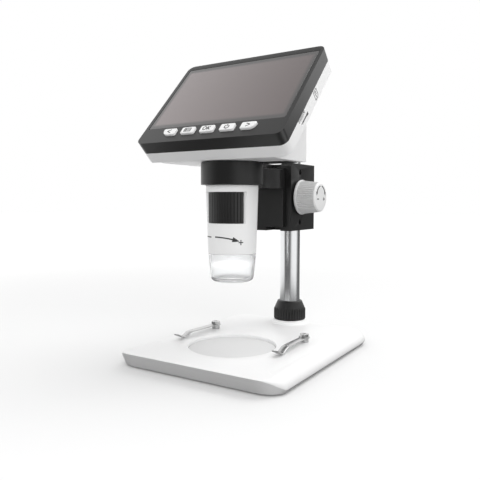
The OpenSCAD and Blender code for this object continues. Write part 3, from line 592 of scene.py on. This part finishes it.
def build_barrel():
    """Levels are (height, change of radius, 1 inside the window). On the window's upper and lower
    edge the radius changes over the window only."""
    edges = [GRIP_FROM, GRIP_FROM + LEFT_RUN, GRIP_TO - RIGHT_RUN, GRIP_TO, 360 + GRIP_FROM]
    angle = np.concatenate([np.linspace(start, end, count, endpoint=False)
                            for start, end, count in zip(edges, edges[1:], (4, 48, 4, 130))])
    inside = np.interp(angle, edges[:4], [0, 1, 1, 0], left=0, right=0)
    heights = [(BARREL_Z0, -0.35, 0), (BARREL_Z0 + 0.3, 0, 0), (80, 0, 0), (87, 0, 0), (GRIP_Z0 - 0.15, 0, 0),
               (GRIP_Z0, -0.12, 0), (GRIP_Z0 + 0.02, 0, 1), (100, 0, 1), (108, 0, 1), (GRIP_Z1 - 0.02, 0, 1),
               (GRIP_Z1, -0.12, 0), (GRIP_Z1 + 0.15, 0, 0), (BARREL_Z1 - 0.4, 0, 0), (BARREL_Z1, -0.4, 0)]
    rings = []
    for z, trim, cut in heights:
        outer = barrel_radius(z) + trim * (inside > 0 if z in (GRIP_Z0, GRIP_Z1) else 1)
        rings.append(at_front(angle, outer - cut * inside * (outer - GRIP_FLOOR), z))
    for radius, z in ((BORE, BARREL_Z1), (BORE, 79.6), (BORE + 0.15, 79.6), (BORE + 0.15, BARREL_Z0)):
        rings.append(at_front(angle, radius, z))
    points, faces = skin(np.array(rings), closed=True)
    return new_piece("barrel_shell", points, faces, "focus_ring", WHITE, ["focus_barrel"], 22)


def build_grip():
    """Curved strip over the window's floor: its outer radius is that of broad flat ribs, less a
    narrow bell-shaped groove between each two of them."""
    start, end = GRIP_FROM + LEFT_RUN + 0.3, GRIP_TO - RIGHT_RUN - 0.3
    share = np.linspace(0, 1, 331)
    angle = start + (end - start) * share
    groove = np.exp(-((share * 13 + 0.5) % 1 - 0.5) ** 2 / 0.006)
    outer = 16.3 - 0.35 * groove
    outer[[0, -1]] = 15.7
    rings = []
    for z, drop in ((GRIP_Z0 + 0.1, 0.35), (GRIP_Z0 + 0.4, 0.05), (GRIP_Z0 + 0.8, 0.0), (105.0, 0.0),
                    (GRIP_Z1 - 0.8, 0.0), (GRIP_Z1 - 0.4, 0.05), (GRIP_Z1 - 0.1, 0.35)):
        front = at_front(angle, outer - drop, z)
        rings.append(np.vstack([front, at_front(angle[::-1], GRIP_FLOOR - 0.05, z)]))
    points, faces = skin(np.array(rings))
    return new_piece("grip_ribs", points, faces, "focus_ring", BLACK, ["grip_insert"], 40)


barrel_shell, grip_ribs = build_barrel(), build_grip()
print("barrel", len(barrel_shell.data.polygons), "grip", len(grip_ribs.data.polygons), "faces")

# %% [markdown]
# The clear tip is a thin turned cup with a large round at its lower edge and an open middle.

# %% Clear tip
def build_tip():
    """Profile up the outside, round the collar and down the inside."""
    low_r, bend, wall = 14.75, 4.0, 1.7
    profile = np.vstack([
        arc(low_r - bend, TIP_Z0 + bend, bend, 270, 360, 12),
        [[15.4, 66.3], [16.12, 74.0], [16.0, 74.43], [BORE - 0.05, 74.45], [BORE - 0.05, TIP_COLLAR],
         [12.6, TIP_COLLAR], [12.6, 75.5], [14.4, 71.5], [13.8, 65.0]],
        arc(low_r - bend, TIP_Z0 + bend, bend - wall, 360, 270, 12)])
    points, faces = skin(lathe(profile, 160, (0.0, AXIS_Y)), closed=True)
    return new_piece("tip_hood", points, faces, "focus_ring", CLEAR, ["clear_tip"], 35)


tip_hood = build_tip()
print("tip", len(tip_hood.data.polygons), "faces")

# %% [markdown]
# ## Parts that keep their mechanical shape
# Plates, boxes and the two halves of the screen unit already have the right shape, but their
# edges are knife sharp, and no real moulding has such edges. `softened` copies a part's mesh,
# joins its loose triangles, merges them into flat faces and gives the outward edges a small round
# with a Bevel modifier. It could be done by hand for each part, but one rule keeps them alike.

# %% Softened copies
SLOT_OF = {entry["node"]: entry["material_slot"] for entry in frame["record"]["subparts"]}
ROUNDED_FROM = math.radians(35)   # angle between two faces from which their edge is rounded


def softened(node, name, width, material):
    """A copy of a part whose sharp outward edges are rounded: an edge takes part when its two faces
    meet at more than ROUNDED_FROM and it is convex. width is the round's size in mm."""
    source = nodes[node]
    mesh = source.data.copy()
    mesh.name = name
    work = bmesh.new()
    work.from_mesh(mesh)
    bmesh.ops.remove_doubles(work, verts=work.verts, dist=2e-6)
    bmesh.ops.dissolve_limit(work, angle_limit=math.radians(0.5), verts=work.verts, edges=work.edges)
    bmesh.ops.recalc_face_normals(work, faces=work.faces)
    weight = work.edges.layers.float.new("bevel_weight_edge")
    for edge in work.edges:
        if len(edge.link_faces) == 2 and edge.is_convex and edge.calc_face_angle(0) > ROUNDED_FROM:
            edge[weight] = 1.0
    work.to_mesh(mesh)
    work.free()
    mesh.materials.clear()
    mesh.materials.append(material)
    piece = bpy.data.objects.new(name, mesh)
    bpy.context.collection.objects.link(piece)
    bevel = piece.modifiers.new("edge round", "BEVEL")
    bevel.limit_method = "WEIGHT"
    bevel.width = width * MM
    bevel.segments = 3
    bevel.harden_normals = True
    mesh.shade_smooth()
    mesh.set_sharp_from_angle(angle=math.radians(30))
    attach(piece, source["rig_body"])
    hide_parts(node)


SOFTENED = {"front_frame": ("screen_frame", 0.5, FRAME_DARK), "rear_shell": ("screen_housing", 1.2, WHITE),
            "slide_box": ("box_body", 0.5, BLACK_METAL), "box_cover": ("box_side", 0.4, BLACK_METAL),
            "slide_plate": ("front_plate", 0.4, BLACK_METAL),
            "holder_arm": ("ring_holder", 0.5, HOLDER_BLACK),
            "stage_disc": ("stage_plate", 0.3, STAGE), "pole_cap": ("pole_plug", 0.4, BLACK)}
for node, settings in SOFTENED.items():
    softened(node, *settings)
print("softened:", ", ".join(SOFTENED))

# %% [markdown]
# ## Finishes for the parts that stay as they are
# Screws, boards, lenses and the other small parts keep their mesh and only take a finish.

# %% Finishes on the remaining parts
FINISH = {"white_shell": WHITE, "stage_grey": STAGE, "black_plastic": BLACK, "black_metal": BLACK_METAL,
          "frame_dark": FRAME_DARK, "pole_metal": POLE, "steel": STEEL, "bright_steel": BRIGHT,
          "brass": BRASS, "nylon": NYLON, "foot_rubber": RUBBER, "clear_hood": CLEAR, "lens_glass": LENS,
          "knob_grey": KNOB_GREY, "circuit_green": BOARD, "chip": CHIP, "led_white": LED_WHITE,
          "cell_wrap": CELL}


def refinish(node, material):
    """Gives a part one new finish."""
    nodes[node].data.materials.clear()
    nodes[node].data.materials.append(material)


for node, slot in SLOT_OF.items():
    if slot in FINISH:
        refinish(node, FINISH[slot])
print("finished", len(SLOT_OF), "parts")

# %% [markdown]
# ## The display
# With the screen off, the window shows the panel behind it: a grey field tinted a little towards red, with a
# darker border, both soft at their edges because the panel lies a little behind the glass. The field carries
# painted light and shade: it is lighter at the left and darker at the right. The field is painted in the
# material as a distance from the field's edge, worked out from the Object coordinates along the screen's own
# directions.

# %% Display material
FIELD_MIDDLE_U, FIELD_HALF_X, FIELD_HALF_U, BLUR = 48.0, 49.5, 29.8, 1.6   # mm
# the field's tone at its left and right ends: painted light at the left, painted shade at the right
FIELD_LEFT_PAINTED_LIGHT, FIELD_RIGHT_PAINTED_SHADE = (0.232, 0.200, 0.199, 1), (0.140, 0.118, 0.117, 1)
BORDER = (0.085, 0.082, 0.082, 1)


def ramp(tree, value, start, end, low=0.0, high=1.0):
    """Smooth step of a value from low at start to high at end."""
    return add(tree, "ShaderNodeMapRange", [("Value", value), ("From Min", start), ("From Max", end),
               ("To Min", low), ("To Max", high)], interpolation_type="SMOOTHSTEP").outputs[0]


def make_display():
    material, tree, shader, where = blank_material("display_off")
    local = vectors(tree, "SUBTRACT", where, on_screen([0.0, FIELD_MIDDLE_U, 0.0]))
    along_u = vectors(tree, "DOT_PRODUCT", local, U_DIR, result="Value")
    across = add(tree, "ShaderNodeSeparateXYZ", [(0, local)]).outputs["X"]
    masks = [ramp(tree, maths(tree, "ABSOLUTE", value), (half - BLUR) * MM, (half + BLUR) * MM, 1.0, 0.0)
             for value, half in ((across, FIELD_HALF_X), (along_u, FIELD_HALF_U))]
    # painted light and shade: the field grows darker from left to right
    side = add(tree, "ShaderNodeMapRange", [("Value", across), ("From Min", -0.05), ("From Max", 0.05)])
    field_painted_shade = add(tree, "ShaderNodeMix", [(0, side.outputs[0]), (6, FIELD_LEFT_PAINTED_LIGHT), (7, FIELD_RIGHT_PAINTED_SHADE)],
               data_type="RGBA")
    shade = add(tree, "ShaderNodeMix", [(0, maths(tree, "MULTIPLY", *masks)), (6, BORDER),
                                        (7, field_painted_shade.outputs[2])], data_type="RGBA")
    cloud = noise(tree, where, Scale=25.0, Detail=2.0)
    gloss = add(tree, "ShaderNodeMapRange", [("Value", cloud), ("To Min", 0.10), ("To Max", 0.16)]).outputs[0]
    tree.links.new(shade.outputs[2], shader.inputs["Base Color"])
    tree.links.new(gloss, shader.inputs["Roughness"])
    shader.inputs["Coat Weight"].default_value = 0.5
    shader.inputs["Coat Roughness"].default_value = 0.05
    return material


DISPLAY = make_display()
WINDOW_X, WINDOW_U, WINDOW_N = (-52.0, 52.0), (14.5, 81.5), (0.12, 1.15)
WINDOW_CORNER, WINDOW_EDGE = 1.2, 0.25


def quarter_round(face, edge, degrees):
    """Levels (inset, depth) of a quarter circle of radius edge that ends flush with a face."""
    return [(edge * (1 - np.cos(t)), face + edge * (1 - np.sin(t))) for t in np.radians(degrees)]


def window_rings():
    """Rings of a plate with round corners and a rounded front edge: the outline shrinks by a
    quarter circle as it nears the front face."""
    face, back = WINDOW_N
    levels = [(0.0, back), *quarter_round(face, WINDOW_EDGE, np.linspace(0, 90, 5)), (WINDOW_EDGE + 0.4, face)]
    rings = []
    for inset, depth in levels:
        radius = WINDOW_CORNER - inset / 2
        rings.append(lifted(rounded_outline(WINDOW_X[0] + inset, WINDOW_X[1] - inset, WINDOW_U[0] + inset,
                                            WINDOW_U[1] - inset, radius, radius, 8), depth))
    return np.array(rings)


points, faces = skin(on_screen(window_rings()))
window = new_piece("window_pane", points, faces, "microscope", DISPLAY, ["window_glass"])
refinish("lcd_panel", DISPLAY)
print("window", len(window.data.polygons), "faces")

# %% [markdown]
# ## The keys
# Five white keys stand out of the frame under the window. The two outer ones have one large round
# corner each. An outline with a radius of its own at each corner covers both kinds, and the top
# edge is a quarter round, as on any moulded key.

# %% Keys
KEY_NAMES = ["left", "menu", "ok", "power", "right"]
KEY_X, KEY_U, KEY_W, KEY_H, KEY_PROUD = [-30, -15, 0, 15, 30], 8.7, 10.3, 5.7, 1.5
KEY_CORNER, KEY_ROUND, KEY_EDGE = 1.0, 4.2, 0.55   # usual corner, the outer keys' large one, top edge
KEY_BACK = 2.4                                    # how deep a key reaches behind the frame's face


def key_outline(inset, corners):
    """Closed outline of a key about its own centre, its four corners from low left anticlockwise."""
    half_w, half_h = KEY_W / 2 - inset, KEY_H / 2 - inset
    signs = [(-1, -1), (1, -1), (1, 1), (-1, 1)]
    line = []
    for (sx, sy), radius, start in zip(signs, corners, (180, 270, 0, 90)):
        r = max(radius - inset, 0.2)
        line.append(arc(sx * (half_w - r), sy * (half_h - r), r, start, start + 90, 10))
    return np.vstack(line)


def build_key(index):
    corners = [KEY_ROUND if index == 0 else KEY_CORNER, KEY_ROUND if index == 4 else KEY_CORNER,
               KEY_CORNER, KEY_CORNER]
    levels = [(0.0, KEY_BACK), (0.0, KEY_EDGE - KEY_PROUD),
              *quarter_round(-KEY_PROUD, KEY_EDGE, [20, 40, 60, 80, 90]), (1.2, -KEY_PROUD)]
    rings = [lifted(key_outline(inset, corners) + [KEY_X[index], KEY_U], depth) for inset, depth in levels]
    points, faces = skin(on_screen(np.array(rings)))
    node = "button_" + KEY_NAMES[index]
    new_piece(node + "_cap", points, faces, "key_" + KEY_NAMES[index], WHITE, [node], 40)


for index in range(5):
    build_key(index)
print("keys:", KEY_NAMES)

# %% [markdown]
# ## Printed marks
# The marks on the keys, the barrel, the knob and the housing are ink: a film far thinner than
# paper. Each stroke is a flat ribbon along a line, with a width and a hair of thickness, so that it
# lies on its surface and still is a closed solid. `ribbon` carries a small rectangle along the
# line; the rectangle's long side lies across the line and in the surface.

# %% Strokes
FILM = 0.05   # half the thickness of the ink, in mm


def ribbon(path, normals, width):
    """Rings of four points carried along a path (metres): across is the path's direction crossed
    with the surface's normal. width may be one number or one for each point, in mm."""
    path = np.asarray(path, float)
    normals = np.broadcast_to(np.asarray(normals, float), path.shape)
    ahead = np.gradient(path, axis=0)
    across = np.cross(ahead, normals)
    across /= np.linalg.norm(across, axis=1, keepdims=True)
    half = np.broadcast_to(np.asarray(width, float) * MM / 2, (len(path),))[:, None]
    lift = normals * FILM * MM
    return np.stack([path - across * half - lift, path + across * half - lift,
                     path + across * half + lift, path - across * half + lift], 1)


def printed(name, strokes, body, ink):
    """One piece from several ribbons."""
    all_points, all_faces, start = [], [], 0
    for rings in strokes:
        points, faces = skin(rings)
        all_points.append(points)
        all_faces += [[i + start for i in face] for face in faces]
        start += len(points)
    return new_piece(name, np.vstack(all_points), all_faces, body, ink)


def line_between(*points):
    """Evenly filled straight pieces between corner points."""
    points = np.asarray(points, float)
    share = np.linspace(0, 1, 6, endpoint=False)[:, None]
    parts = [a * (1 - share) + b * share for a, b in zip(points[:-1], points[1:])]
    return np.vstack(parts + [points[-1:]])


def circle_part(cx, cy, rx, ry, start, end):
    """Part of an oval line about (cx, cy), from one angle to another in degrees."""
    turn = np.radians(np.linspace(start, end, 33))
    return np.stack([cx + rx * np.cos(turn), cy + ry * np.sin(turn)], -1)


KEY_MARKS = [
    [line_between((-1.4, 0.0), (1.4, 1.45))[::-1], line_between((-1.4, 0.0), (1.4, -1.45))],
    [line_between((-2.5, u), (2.5, u)) for u in (-1.5, -0.5, 0.5, 1.5)]
    + [line_between((x, -1.7), (x, 1.7)) for x in (-2.5, -1.3, 2.5)],
    [circle_part(-1.55, 0, 1.25, 1.45, 0, 360), line_between((0.6, -1.5), (0.6, 1.5)),
     line_between((2.6, 1.5), (0.85, 0.0), (2.6, -1.5))],
    [circle_part(0, -0.25, 1.55, 1.45, 125, 415), line_between((0.0, 0.1), (0.0, 1.9))],
    [line_between((1.4, 0.0), (-1.4, 1.45))[::-1], line_between((1.4, 0.0), (-1.4, -1.45))]]
KEY_PENS = [0.62, 0.42, 0.62, 0.62, 0.62]   # widths of the strokes
for index, name in enumerate(KEY_NAMES):
    strokes = [ribbon(on_screen(lifted(line + [KEY_X[index], KEY_U], -KEY_PROUD)), -N_DIR, KEY_PENS[index])
               for line in KEY_MARKS[index]]
    printed("button_" + name + "_mark", strokes, "key_" + name, INK)
print("marks on", len(KEY_MARKS), "keys")

# %% [markdown]
# On the barrel a dash and a curved arrow show which way to turn it, with a plus sign at the end.
# The strokes follow the cone: a point is an angle and a height, and the normal points away from
# the axis.

# %% Marks on the barrel
def barrel_line(angles, heights):
    """A line on the cone as (points, normals)."""
    angles, heights = np.asarray(angles, float), np.asarray(heights, float)
    turn = np.radians(angles)
    normals = np.stack([np.sin(turn), -np.cos(turn), 0 * turn], -1)
    return at_front(angles, barrel_radius(heights), heights), normals


def build_barrel_marks():
    """Dash, arrow and plus as (angles, heights, widths). The arrow falls along a parabola, and its
    head is a ribbon that narrows to its point."""
    shaft, head = np.linspace(0, 1, 30), np.linspace(0, 1, 8)
    lines = [(np.linspace(-60, -22, 14), np.full(14, 85.9), 0.75),
             (-8.8 + 47 * shaft, 86.1 - 1.7 * shaft ** 2, 0.85),
             (34 + 16 * head, 84.7 - 1.3 * head, 3.3 * (1 - head) + 0.05),
             (47.8 + 11 * head, np.full(8, 82.7), 0.65), (np.full(8, 53.3), 81.0 + 3.4 * head, 0.65)]
    strokes = [ribbon(*barrel_line(angles, heights), width) for angles, heights, width in lines]
    return printed("barrel_marks", strokes, "focus_ring", INK)


barrel_marks = build_barrel_marks()
print("barrel marks", len(barrel_marks.data.polygons), "faces")

# %% [markdown]
# The knob's cap shows two arrows that bend down on either side of its centre, over a minus and a
# plus sign.

# %% Marks on the knob
def build_knob_marks():
    """Lines as (y, z, width) about the cap's centre: on each side a bent shaft, the arrow's head and
    a short bar, and on the right an upright bar that makes the plus."""
    bend, step = np.radians(np.linspace(80, 22, 16)), np.linspace(0, 1, 6)
    lines = []
    for side in (-1, 1):
        lines += [(side * 7.6 * np.cos(bend), 8.3 * np.sin(bend), np.linspace(0.8, 1.3, 16)),
                  (side * (7.0 + 0.7 * step), 3.6 - 2.4 * step, 2.8 - 2.7 * step),
                  (side * 5.2 - 1.6 + 3.2 * step, -1.4 + 0 * step, 0.7)]
    lines.append((5.2 + 0 * step, -2.7 + 2.6 * step, 0.8))
    strokes = [ribbon(np.column_stack([np.full(len(y), KNOB_FACE), KNOB_Y + y, KNOB_Z + z]) * MM, X_DIR, width)
               for y, z, width in lines]
    return printed("knob_marks", strokes, "focus_drive", DARK_INK)


knob_marks = build_knob_marks()
print("knob marks", len(knob_marks.data.polygons), "faces")

# %% [markdown]
# The right side of the housing has a small card symbol over the card slot, a dot at the slot's end and a line
# of painted shade in the slot. Under the housing lies a thin black sheet of painted shade, which darkens the
# housing's underside above the ring.

# %% Marks and painted shade sheet of the housing
HOUSING_SIDE = 55.0


def build_side_marks_and_slot_shade():
    """Lines as (corners (u, n), width): the card, its three rows, the dot and a line of painted shade in the
    card slot.
    """
    lines = [([(49.6, 9.9), (54.8, 9.9), (54.8, 14.4), (53.6, 15.4), (49.6, 15.4), (49.6, 9.9)], 0.5),
             ([(51.0, 11.2), (53.4, 11.2)], 0.6), ([(51.0, 12.6), (53.4, 12.6)], 0.6),
             ([(51.0, 14.0), (52.8, 14.0)], 0.5), ([(33.2, 13.5), (35.2, 13.5)], 1.9),
             # painted shade: a dark line along the card slot, where the recess is in shade
             ([(25.6, 13.4), (33.9, 13.4)], 0.8)]
    strokes = []
    for corners, width in lines:
        line = line_between(*corners)
        place = on_screen(np.column_stack([np.full(len(line), HOUSING_SIDE), line]))
        strokes.append(ribbon(place, X_DIR, width))
    return printed("card_symbol_and_slot_shade", strokes, "microscope", PALE_INK)


def build_shade_sheet():
    """A black sheet of painted shade: a plate with round corners between two heights, just above the ring."""
    line = rounded_outline(-15.0, 38.5, -22.0, -6.0, 2.5, 2.5)
    points, faces = skin(np.array([lifted(line, z) for z in (134.62, 135.1)]) * MM)
    return new_piece("housing_shade_sheet", points, faces, "microscope", BLACK)


side_marks_and_slot_shade, shade_sheet = build_side_marks_and_slot_shade(), build_shade_sheet()
print("card symbol", len(side_marks_and_slot_shade.data.polygons), "shade_sheet", len(shade_sheet.data.polygons), "faces")

# %% [markdown]
# ## The spring clips
# Each clip is a strip of spring steel: straight from its screw, then a short step down to the line
# that presses on the slide, then a turned-up tip. Its side view is a line with rounded bends, its
# plan a strip with a round end under the screw. The strip is a stack of thin rounded rectangles
# carried along that line.

# %% Clips
def bent(corners, radius, steps=6):
    """A line through corner points whose inner corners are replaced by smooth curves: each is a
    quadratic curve that starts and ends radius away from the corner."""
    corners = np.asarray(corners, float)
    line = [corners[:1]]
    for before, here, after in zip(corners[:-2], corners[1:-1], corners[2:]):
        back = (before - here) / np.linalg.norm(before - here)
        ahead = (after - here) / np.linalg.norm(after - here)
        t = np.linspace(0, 1, steps + 1)[:, None]
        a, b = here + back * radius, here + ahead * radius
        line.append((1 - t) ** 2 * a + 2 * t * (1 - t) * here + t ** 2 * b)
    line.append(corners[-1:])
    return np.vstack(line)


CLIP_X, CLIP_Y, CLIP_LEAN = 37.7, 7.2, math.radians(2.2)   # the screws' places and the turn outwards
STRIP_Z, STRIP_T, STRIP_W, EYE_R = 14.3, 0.8, 5.0, 4.0      # underside, thickness, width, round end
STRIP_BENDS = [(EYE_R, STRIP_Z), (31.0, STRIP_Z + 0.5), (38.6, 11.9), (45.5, 15.1)]


def build_clip(side, name, body, node):
    """Rings across the strip, each a rectangle with small rounds. Round the screw the half width is
    that of a circle; in front of the screw it is the strip's own."""
    path = bent(STRIP_BENDS, 1.3)
    round_end = -EYE_R * np.cos(np.radians(np.linspace(6, 180, 24)))
    path = np.vstack([np.column_stack([round_end, np.full(24, STRIP_Z)]), path[1:]])
    circle = np.sqrt(np.maximum(EYE_R ** 2 - path[:, 0] ** 2, 0))
    half = np.where((path[:, 0] < 0) | (circle > STRIP_W / 2), circle, STRIP_W / 2)
    ahead = np.gradient(path, axis=0)
    ahead /= np.linalg.norm(ahead, axis=1, keepdims=True)
    up = np.stack([-ahead[:, 1], ahead[:, 0]], -1)
    across = np.array([-1.0, -0.86, 0.86, 1.0, 1.0, 0.86, -0.86, -1.0])
    rise = np.array([0.2, 0.0, 0.0, 0.2, 0.8, 1.0, 1.0, 0.8]) * STRIP_T
    forward = path[:, None, 0] + up[:, None, 0] * rise
    height = path[:, None, 1] + up[:, None, 1] * rise
    sideways = half[:, None] * across
    lean = CLIP_LEAN * side
    x = side * CLIP_X + sideways * math.cos(lean) + forward * math.sin(lean)
    y = CLIP_Y - forward * math.cos(lean) + sideways * math.sin(lean)
    points, faces = skin(np.stack([x, y, height], -1) * MM)
    return new_piece(name, points, faces, body, STEEL, [node], 30)


clips = [build_clip(-1, "clip_strip_left", "clip_l", "clip_left"),
         build_clip(1, "clip_strip_right", "clip_r", "clip_right")]
print("clips", [len(c.data.polygons) for c in clips], "faces")

# %% [markdown]
# ## Floor, light and background
# The floor is plain and pale and keeps the object's shadow. Far from the object it shines a little
# for the camera, so that it meets the white background without an edge. The world is a studio of
# soft white walls with a darker front left and ceiling: gloss needs something dark next to
# something bright, or metal looks like paper. A large lamp stands at the front right, a weaker one
# at the front left and a third one overhead.

# %% Floor
def ray_switch(tree, *kinds):
    """1 for rays of the given kinds of the Light Path node, else 0."""
    path = add(tree, "ShaderNodeLightPath")
    value = path.outputs[kinds[0]]
    for kind in kinds[1:]:
        value = maths(tree, "MAXIMUM", value, path.outputs[kind])
    return value


def side_at(degrees):
    """Level direction at an angle about the upright axis, counted from +X."""
    return math.cos(math.radians(degrees)), math.sin(math.radians(degrees)), 0.0


BACK_SIDE, RIGHT_SIDE, LEFT_SIDE = side_at(122.5), side_at(-10), side_at(160)


def flat_direction(tree, vector):
    """The level part of a vector, made one unit long, and its length."""
    level = vectors(tree, "MULTIPLY", vector, (1.0, 1.0, 0.0))
    return vectors(tree, "NORMALIZE", level), vectors(tree, "LENGTH", level, result="Value")


def facing(tree, unit, side):
    """Cosine of the angle between a direction and a side."""
    return vectors(tree, "DOT_PRODUCT", unit, side, result="Value")


def bright_walls(tree, unit):
    """Two soft white walls of the studio, one to the right and one to the left and back, as a value
    from 0 to 1 over the level direction; then the right one alone."""
    right = ramp(tree, facing(tree, unit, RIGHT_SIDE), 0.62, 0.94)
    left = ramp(tree, facing(tree, unit, LEFT_SIDE), 0.22, 0.50)
    return maths(tree, "MAXIMUM", right, left), right


PAPER, PAPER_GLOW, PAPER_GLOSS = 0.74, 0.10, 0.12   # floor's tone, shine near the object, mirrored tone


def make_floor():
    """The camera sees white paper that turns into pure shine further out. Diffuse light comes back from a
    floor with a painted shadow that is darker near the object, and gloss sees the walls' echo in it."""
    bpy.ops.mesh.primitive_plane_add(size=8.0, location=(0, 0, -0.0002))
    floor = bpy.context.object
    floor.name = "floor"
    material, tree, shader, where = blank_material("floor_paper")
    seen = ray_switch(tree, "Is Camera Ray", "Is Transmission Ray")
    mirrored = ray_switch(tree, "Is Glossy Ray")
    unit, distance = flat_direction(tree, where)
    far = ramp(tree, distance, 0.12, 0.7)
    echo = maths(tree, "MULTIPLY", bright_walls(tree, unit)[0], ramp(tree, distance, 0.17, 0.30))
    # painted shadow: the floor's tone for light that bounces onto the object is darker near the object
    bounce_tone_with_painted_shadow = maths(tree, "MULTIPLY", ramp(tree, distance, 0.09, 0.18, 0.08, 0.50),
                       ramp(tree, distance, 0.18, 0.40, 1.0, 0.5))
    paper = maths(tree, "MULTIPLY_ADD", far, -PAPER, PAPER)
    tone = add(tree, "ShaderNodeMix", [(0, seen), (2, bounce_tone_with_painted_shadow), (3, paper)]).outputs[0]
    tone = add(tree, "ShaderNodeMix", [(0, mirrored), (2, tone), (3, PAPER_GLOSS)]).outputs[0]
    tree.links.new(tone, shader.inputs["Base Color"])
    shader.inputs["Roughness"].default_value = 0.9
    shader.inputs["Specular IOR Level"].default_value = 0.1
    shown = maths(tree, "MULTIPLY", seen, maths(tree, "MULTIPLY_ADD", far, 1 - PAPER_GLOW, PAPER_GLOW))
    glow = maths(tree, "MULTIPLY_ADD", mirrored, echo, shown)
    light = add(tree, "ShaderNodeEmission", [("Color", (1, 1, 1, 1)), ("Strength", glow)])
    both = add(tree, "ShaderNodeAddShader", [(0, shader.outputs[0]), (1, light.outputs[0])])
    tree.links.new(both.outputs[0], tree.nodes["Material Output"].inputs["Surface"])
    floor.data.materials.append(material)


make_floor()
print("floor ready")

# %% World and lamps
def make_world():
    """Near the horizon only the two walls are bright; higher up the back and the right wall glow and
    fade again towards the ceiling. The camera, and what it sees through glass, gets plain white."""
    world = bpy.data.worlds.new("studio")
    bpy.context.scene.world = world
    world.use_nodes = True
    tree = world.node_tree
    seen = ray_switch(tree, "Is Camera Ray", "Is Transmission Ray")
    direction = add(tree, "ShaderNodeTexCoord").outputs["Generated"]
    unit, _ = flat_direction(tree, direction)
    back = ramp(tree, facing(tree, unit, BACK_SIDE), -0.1, 0.3)
    height = add(tree, "ShaderNodeSeparateXYZ", [(0, direction)]).outputs["Z"]
    low, right = bright_walls(tree, unit)
    back_wall = maths(tree, "MULTIPLY", back, ramp(tree, height, 0.60, 1.0, 1.0, 0.0))
    right_wall = maths(tree, "MULTIPLY", right, ramp(tree, height, 0.35, 0.60, 1.0, 0.0))
    high = maths(tree, "MAXIMUM", back_wall, right_wall)
    strength = add(tree, "ShaderNodeMix", [(0, ramp(tree, height, 0.07, 0.18)),
                                           (2, maths(tree, "MULTIPLY_ADD", low, 0.9, 0.15)),
                                           (3, maths(tree, "MULTIPLY_ADD", high, 0.80, 0.40))]).outputs[0]
    ambient = add(tree, "ShaderNodeBackground", [("Color", (1, 1, 1, 1)), ("Strength", strength)])
    shown = add(tree, "ShaderNodeBackground", [("Color", (1, 1, 1, 1)), ("Strength", 1.0)])
    pick = add(tree, "ShaderNodeMixShader", [(0, seen), (1, ambient.outputs[0]), (2, shown.outputs[0])])
    tree.links.new(pick.outputs[0], tree.nodes["World Output"].inputs["Surface"])


LAMP_TARGET = np.array([0.0, 0.0, 0.09])


def area_light(name, place, size, watts, mirrored=True):
    """A square lamp at a place, turned towards LAMP_TARGET; gloss shows it only if it is mirrored."""
    data = bpy.data.lights.new(name, "AREA")
    data.size = size
    data.energy = watts
    lamp = bpy.data.objects.new(name, data)
    lamp.location = place
    away = place - LAMP_TARGET
    lamp.rotation_euler = (math.atan2(math.hypot(away[0], away[1]), away[2]), 0.0,
                           math.atan2(away[1], away[0]) + math.pi / 2)
    lamp.visible_glossy = mirrored
    bpy.context.collection.objects.link(lamp)


make_world()
area_light("key", (0.68, -0.70, 0.60), 1.1, 6.0, mirrored=False)
area_light("fill", (-0.45, -0.90, 0.35), 0.8, 2.6, mirrored=False)
area_light("top", (0.30, 0.40, 1.00), 0.8, 5.2)
